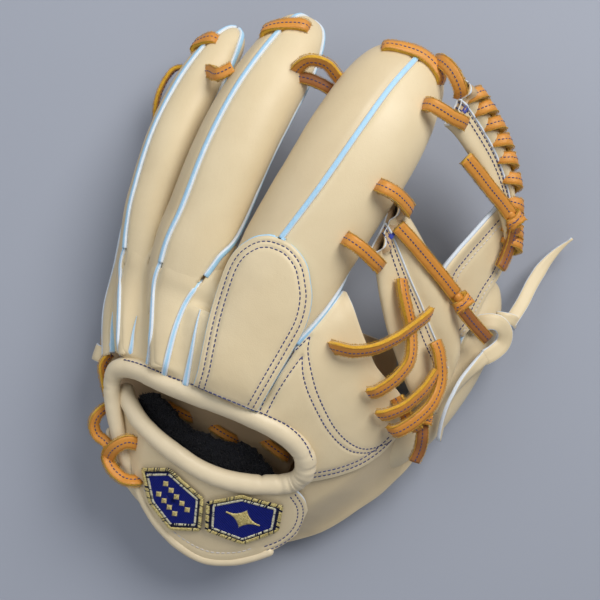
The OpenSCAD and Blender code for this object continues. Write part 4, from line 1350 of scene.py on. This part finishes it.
def bar(part, cols, count, half=3.7, pinch=1.9, tail=0.12, flat=0.16):
    """A web bar: a hide folded into two soft tubes side by side, with a sewn line between them.

    Its left end is open.
    """
    m = 26
    base = along(cols, count)
    loops = []
    for k, (x, y0, y1) in enumerate(base):
        f = k / count
        h = half * min(1.0, ((1 - f) / tail) ** 0.5 + 0.1) if f > 1 - tail else half
        puff = 1 + 0.28 * math.exp(-(f / 0.1) ** 2)
        pts = []
        for side in (1, -1):
            for i in range(m):
                s = i / m if side > 0 else 1 - i / m
                a = (s / 0.5) if s < 0.5 else ((1 - s) / 0.5)
                lobe = math.sin(math.pi * (a / (1 - flat))) if a < 1 - flat else 0.0
                hh = max(pinch * min(1.0, a / 0.25) * h / half, h * puff * lobe ** 0.62 if lobe > 0 else 0)
                y = y0 + (y1 - y0) * s
                z = web_at(x) - 3 + side * hh
                z += uneven((x, y, side * 9), 0.3, 15, 41) * min(1, a * 3)
                slant = math.exp(-f * 14) * (1.5 * (1 - abs(s - 0.5) * 2) + 4.0 *
                                             max(0.0, z - web_at(x) + 3) / half)
                pts.append((x + slant, y, z))
        loops.append(np.array(pts))
    inner = []
    first = loops[0]
    for off, shift in ((0.45, -0.5), (1.05, -0.45), (1.25, 0.3), (1.3, 1.5), (1.3, 3.2)):
        q = first.copy()
        yz = q[:, 1:]
        tangent = np.roll(yz, -1, 0) - np.roll(yz, 1, 0)
        normal = np.stack([-tangent[:, 1], tangent[:, 0]], 1)
        normal /= np.maximum(np.linalg.norm(normal, axis=1, keepdims=True), 1e-6)
        for _ in range(2):
            normal = (np.roll(normal, 1, 0) + 2 * normal + np.roll(normal, -1, 0)) / 4
        q[:, 1:] += normal * (-off)
        q[:, 0] += shift
        inner.append(q)
    seq = inner[::-1] + loops
    tags = ["tan", "tan", "white", "white", "white", "white"] + ["cream"] * (len(loops) - 2)
    n, mm = len(seq), len(first)
    pts = np.concatenate(seq)
    faces, mats = [], []
    for k in range(n - 1):
        for i in range(mm):
            j = (i + 1) % mm
            faces.append((k * mm + i, (k + 1) * mm + i, (k + 1) * mm + j, k * mm + j))
            mats.append(tags[k])
    # the open end is closed with a dark face: painted shade of the inside of the tube
    for ring, mat in ((0, "hole"), (n - 1, "cream")):
        for i in range(m - 1):
            quad = [ring * mm + k for k in (i, i + 1, mm - 2 - i, mm - 1 - i)]
            faces.append(tuple(quad if ring else quad[::-1]))
            mats.append(mat)
    part.put(pts, [f[::-1] for f in faces], mats)


def bar_line(cols, s, f0, f1):
    """Plan-view line along a bar at a share s of its width."""
    pts = []
    for f in np.linspace(f0, f1, 60):
        x, y0, y1 = at(cols, f * (len(cols) - 1))
        pts.append((x, y0 + (y1 - y0) * s))
    return np.array(pts)


top_bar, low_bar = Part(), Part()
bar(top_bar, TOP_BAR, 90)
bar(low_bar, BOTTOM_BAR, 110)
top_bar.make("web_top_bar_leather", "thumb_side", replaces=["web_top_bar"])
low_bar.make("web_bottom_bar_leather", "thumb_side", replaces=["web_bottom_bar"])
top_tree, low_tree = top_bar.bvh(), low_bar.bvh()

POST = [(14, 76, 86), (22, 72, 88.5), (30, 66, 89), (40, 61, 90), (52, 64, 92.5), (64, 68.5, 92),
        (76, 73, 89.5), (86, 77, 87)]


def post_height(x, y):
    """The post bulges along its left edge, over the piping sewn into it."""
    left = float(np.interp(y, [r[0] for r in POST], [r[1] for r in POST]))
    return web_at(x) - 5.4 + 1.8 * math.exp(-((x - left - 2.6) / 2.4) ** 2)


post = Part()
post_rows = [smooth_plan([(x0 + 6.5, y) for y, x0, _ in POST[2:]]),
             smooth_plan([(x0 + 9, y) for y, x0, _ in POST[2:]]),
             smooth_plan([(x1 - 2.2, y) for y, _, x1 in POST]),
             smooth_plan([(x1 - 4.6, y) for y, _, x1 in POST])]
panel(post, POST, 60, 30, post_height, 3.6, "cream", grooves=post_rows, seed=15.0, even=True, edge="white")
post.make("web_post_leather", "thumb_side", replaces=["web_post"])
post_tree = post.bvh()
piping = Part()
edge = curve([(x0 + 0.2, y, web_at(x0) - 5.0) for y, x0, _ in POST[2:]], 1.0)
sweep(piping, edge, (0, 0, 1), circle(1.1, 10), "white", cap="round")
piping.make("web_post_piping", "thumb_side", replaces=["web_piping"], slot="welt")

seams = Part()
for cols, tree, s_list, f0, f1 in ((TOP_BAR, top_tree, (0.44, 0.555), 0.06, 0.82),
                                   (BOTTOM_BAR, low_tree, (0.45, 0.54), 0.05, 0.86)):
    sew(seams, tree, [bar_line(cols, s, f0, f1) for s in s_list], 0.0)
    c, n = drop(tree, bar_line(cols, s_list[1] + 0.055, f0, f1), 0.15, smooth=False)
    sweep(seams, c, n, circle(0.55, 8), "white", cap="round")
    x, y0, y1 = at(cols, f0 * (len(cols) - 1))
    for i in range(5):
        p = np.array([x + 3.4 + i * 0.42, y0 + (y1 - y0) * (s_list[0] - 0.03) - i * 0.2, 0])
        q = np.array([x + 3.4 + i * 0.42 + 1.2, y0 + (y1 - y0) * (s_list[1] + 0.03) - i * 0.2, 0])
        ends = [fall(tree, v[0], v[1]) for v in (p, q)]
        if None not in ends:
            dash(seams, np.array(ends[0]), np.array(ends[1]), UP, 0.32, "royal", 0.2, 0.1, 5)
for k, line in enumerate(post_rows):
    sew(seams, post_tree, [line], -0.05, mat="navy" if k in (0, 3) else "pale")
seams.make("web_stitching", "thumb_side", slot="shell_leather")

# ---------------------------------------------------------------- laces
WRAP_COUNT = 9
WRAP = [(-6.2, -0.6, -0.4), (-3.4, -0.3, 1.8), (0.4, 0, 1.6), (2.6, 0.35, -2.6), (0.8, 0.7, -6.8),
        (-5, 0.9, -8.6)]
WRAP_UPS = [(0, 1), (0.3, 0.9), (0.8, 0.8), (1, 0), (0.6, -0.9), (0, -1)]
wraps = Part()
for k in range(WRAP_COUNT):
    u = 1.9 + k * 5.9 / (WRAP_COUNT - 1)
    e, ahead = at(TOP_BAR, u), at(TOP_BAR, u + 0.1)
    z = web_at(e[0])
    d = unit((1, (ahead[2] - e[2]) / (ahead[0] - e[0]), -0.6))
    out = unit(np.cross(d, (0, 0, -1)))
    p = np.array([e[0], e[2], 0])
    lean = d * 4.6
    lace(wraps, [p + out * a + lean * b + (0, 0, z + c) for a, b, c in WRAP],
         ups=[tuple(out * a + UP * b) for a, b in WRAP_UPS], w=6.2, t=3.3, step=0.9)
wraps.make("web_edge_whip_lace", "thumb_side", replaces=["web_edge_lace"], slot="lace")

LOOPS = [
    [(20.5, 109.5, 82), (23, 109.5, 87.5), (28.5, 109, 87), (35, 108.5, 83.5), (40.5, 109, 79.5),
     (42.5, 109.5, 75.5)],
    [(14, 64, 91.5), (16.5, 63.5, 97), (22.5, 63, 95.5), (28, 61.5, 91), (32, 60, 86), (33, 59.5, 81)],
    [(9, 35, 91.5), (11.5, 34.5, 97), (18, 33, 95.5), (24, 31, 91), (28.5, 29.5, 86.5), (30, 29, 81.5)],
    [(17.5, 134, 67), (20.5, 133.5, 75), (26, 130.5, 79), (31, 126.5, 79.5), (34.5, 123, 77.5),
     (35.5, 121, 73)]]
ties = Part()
for r in LOOPS:
    lace(ties, r, step=1.0)
ties.make("index_web_lace_loops", blend=("hand", "thumb_side", (22, 0, 80), (31, 0, 80)),
          replaces=["index_lace_ends", "web_lace_ends"], slot="lace")


def on_web(x, y, lift=2.6):
    return (x, y, web_at(x) + lift)


face = Part()
lace(face, [on_web(49.5, 95, 2.5), on_web(58, 91.5), on_web(67, 87.5), on_web(76, 84), on_web(83.5, 80.5)],
     w=7.0)
lace(face, [on_web(30.5, 50.5, 2.5), on_web(40, 46.5, 3), on_web(52, 41, 3), on_web(63, 36), on_web(71, 32)],
     w=7.0)
lace(face, [(88, 76, 46), (90, 68, 41), (90.5, 60, 39.5), (90, 54, 40.5)], dark=True, w=6.2, turn=30)
lace(face, [(77, 26.5, 55.5), (84, 23, 51.5), (92, 19.5, 47.5), (97, 17.5, 44)], dark=True, w=6.2)
lace(face, [(81, -35, 52), (83.5, -41, 51), (85.5, -48, 46), (85.5, -55, 43)], dark=True, w=5.8)


def knot(part, centre, axis, size=1.0):
    """An overhand knot: two crossed turns of lace with the standing part tucked under."""
    axis = unit(axis)
    side_v = unit(np.cross((0, 0, 1), axis))
    c = np.asarray(centre, float)
    for phase, tilt in ((0.0, 0.55), (1.6, -0.55)):
        pts, ups = [], []
        for i in range(9):
            a = math.radians(-160 + 320 * i / 8) + phase * 0.2
            rad = side_v * math.cos(a) * 4.3 * size + np.array([0, 0, 1.0]) * math.sin(a) * 2.6 * size
            pts.append(tuple(c + rad + axis * tilt * (math.cos(a * 0.5 + phase) * 5.2) * size))
            ups.append(tuple(unit(rad)))
        lace(part, pts, ups=ups, w=4.6 * size, t=2.3, step=0.9, fluff=0.8)
    sweep(part, np.array([c - axis * 3.4 * size, c, c + axis * 3.4 * size]), (0, 0, 1),
          circle(2.3 * size, 12), "lace", cap="round")


knot(face, on_web(85.5, 79.5, 3), (1, -0.5, -0.5))
knot(face, on_web(75.5, 30, 3.4), (1, -0.5, -0.5))
knot(face, (80, -31, 54.5), (0.3, -1, -0.2), 0.8)
face.make("web_face_laces", "thumb_side", replaces=["web_ties", "web_knots"], slot="lace")

cross = Part()
CROTCH = [
    [(48, -29.5, 74), (52, -26.5, 76), (58, -17, 75.5), (60.5, -6, 73.5), (55, 8, 72.5), (46, 21, 75.5),
     (42, 28, 74.5)],
    [(57.5, -38, 66), (61, -36, 69), (68, -29, 67.5), (74, -18, 64), (77, -8, 59)],
    [(66.5, -43.5, 58), (69.5, -42, 63), (75.5, -34, 63), (80.5, -23, 60), (80.5, -11, 57.5),
     (74.5, 1, 60.5), (70, 6, 61)],
    [(63, -27, 60), (68, -31, 60), (74, -36, 57), (80, -38, 54)]]
for r, t in zip(CROTCH, (-48, -52, -50, -30)):
    lace(cross, r, turn=t, w=6.3, t=2.8, step=1.0, fluff=1.3)
cross.make("crotch_side_laces", "thumb_side", replaces=["crotch_laces"], slot="lace")
first = Part()
lace(first, [(22.5, -15, 83), (25.5, -14.5, 88), (33, -13, 87.5), (42, -8, 85), (50, 0, 81), (56, 8.5, 76),
             (60.5, 15.5, 70.5), (62, 18.5, 66.5)],
     turn=-46, w=6.3, t=2.8, step=1.0, fluff=1.3)
first.make("crotch_long_lace", blend=("hand", "thumb_side", (29, 0, 80), (41, 0, 80)), slot="lace")

tips = Part()


def tip_lace(part, finger, stops, lift=1.5, w=6.4, close=2.4):
    p = FINGERS[finger]
    pts, ups = [], []
    for k, (u, a) in enumerate(stops):
        sunk = -close if k in (0, len(stops) - 1) else lift
        pts.append(tuple(on_finger(p, u, a, sunk)))
        ups.append(tuple(unit(on_finger(p, u, a, 2) - on_finger(p, u, a, 0))))
    lace(part, pts, ups=ups, w=w, step=1.0)


tip_lace(tips, "ring", [(7.0, 132), (7.08, 122), (7.25, 103), (7.45, 82), (7.55, 70)])
tip_lace(tips, "middle", [(7.5, 142), (7.56, 132), (7.76, 112), (8.02, 88), (8.18, 68), (8.22, 58)])
tip_lace(tips, "index", [(7.7, 146), (7.78, 138), (8.0, 118), (8.18, 96), (8.22, 74), (8.1, 54), (7.95, 42)])
ring_tie = [on_finger(FINGERS["ring"], 6.45, a, lift) for a, lift in ((40, -1.5), (32, 2.0))]
ring_tie += [(-80, 89, 61.5), on_finger(FINGERS["middle"], 6.45, 140, 1.2)]
middle_tie = [(-43.5, 103, 66), (-43.5, 105, 72), (-39.5, 109.5, 76), (-31.5, 111, 76.5), (-25, 108.5, 73.5),
              (-20.5, 106, 70)]
for route in (ring_tie, middle_tie):
    lace(tips, route, step=1.0, w=6.2)
lace(tips, [(-44, 101, 68), (-37, 102.5, 68.5), (-28, 102.5, 67.5), (-20, 101, 65)], w=5.6, dark=True)
tips.make("fingertip_and_tie_laces", "hand", replaces=["fingertip_laces", "finger_ties"], slot="lace")

HEEL_ROUTES = [        # route, turn in degrees, width
    ([(-80, -62, 44), (-81.5, -68.5, 44.5), (-79, -74, 43.5), (-76, -79, 42), (-72.5, -84, 39)], 60, 4.6),
    ([(-68, -86, 42), (-72, -89, 44), (-74.5, -94, 44.5), (-74.5, -99.5, 42.5), (-71, -104, 41),
      (-66, -105, 43),
      (-61.5, -107.5, 44)], 30, 5.2),
    ([(-48.5, -98.5, 48), (-50.5, -98.5, 52), (-54.5, -99, 54.5), (-58.5, -103.5, 53.5), (-60.5, -108.5, 50),
      (-60, -113.5, 44.5), (-56.5, -116.5, 40)], 0, 6.6),
    ([(-62, -107, 43), (-61.5, -111, 46.5), (-57, -115.5, 48.5), (-50.5, -118, 49), (-45, -117.5, 50),
      (-41.5, -116, 47)], 10, 5.8)]
wrist_lace = Part()
for route, turn, w in HEEL_ROUTES:
    lace(wrist_lace, route, turn=turn, w=w)
wrist_lace.make("heel_lacing", "hand", replaces=["wrist_lace"], slot="lace")
tab = Part()
sweep(tab, curve([(-80, -64.5, 40), (-84.5, -64.8, 39.5), (-88, -65, 36.5), (-89.5, -65, 30)], 1.0),
      (0, 0, 1),
      [(-4, 1.0), (-2, 1.2), (0, 1.2), (2, 1.2), (4, 1.0), (4.3, 0), (4, -1.0), (0, -1.2), (-4, -1.0),
       (-4.3, 0)],
      ["cream"] * 4 + ["white", "white", "tan", "tan", "white", "white"], ends="white")
tab.make("pinky_side_tab", "hand", replaces=["pinky_loop_tab"])
pinky_loop = Part()
lace(pinky_loop, [(-97, 90, 22), (-102, 91.5, 25.5), (-108, 88, 26), (-110.5, 77, 25), (-109.5, 66, 23),
                  (-105, 56, 20), (-101, 52, 17)],
     turn=72, w=5.6, t=2.2, fluff=0.8)
pinky_loop.make("pinky_side_lace", "pinky_side", slot="lace")

# CAD nodes shown as they are: the linings, the felt and the heel pads
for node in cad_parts.values():
    if not node.hide_render:
        kind = "tan" if "lining" in node.name else "felt"
        for slot in node.material_slots:
            slot.material = MATS[kind]
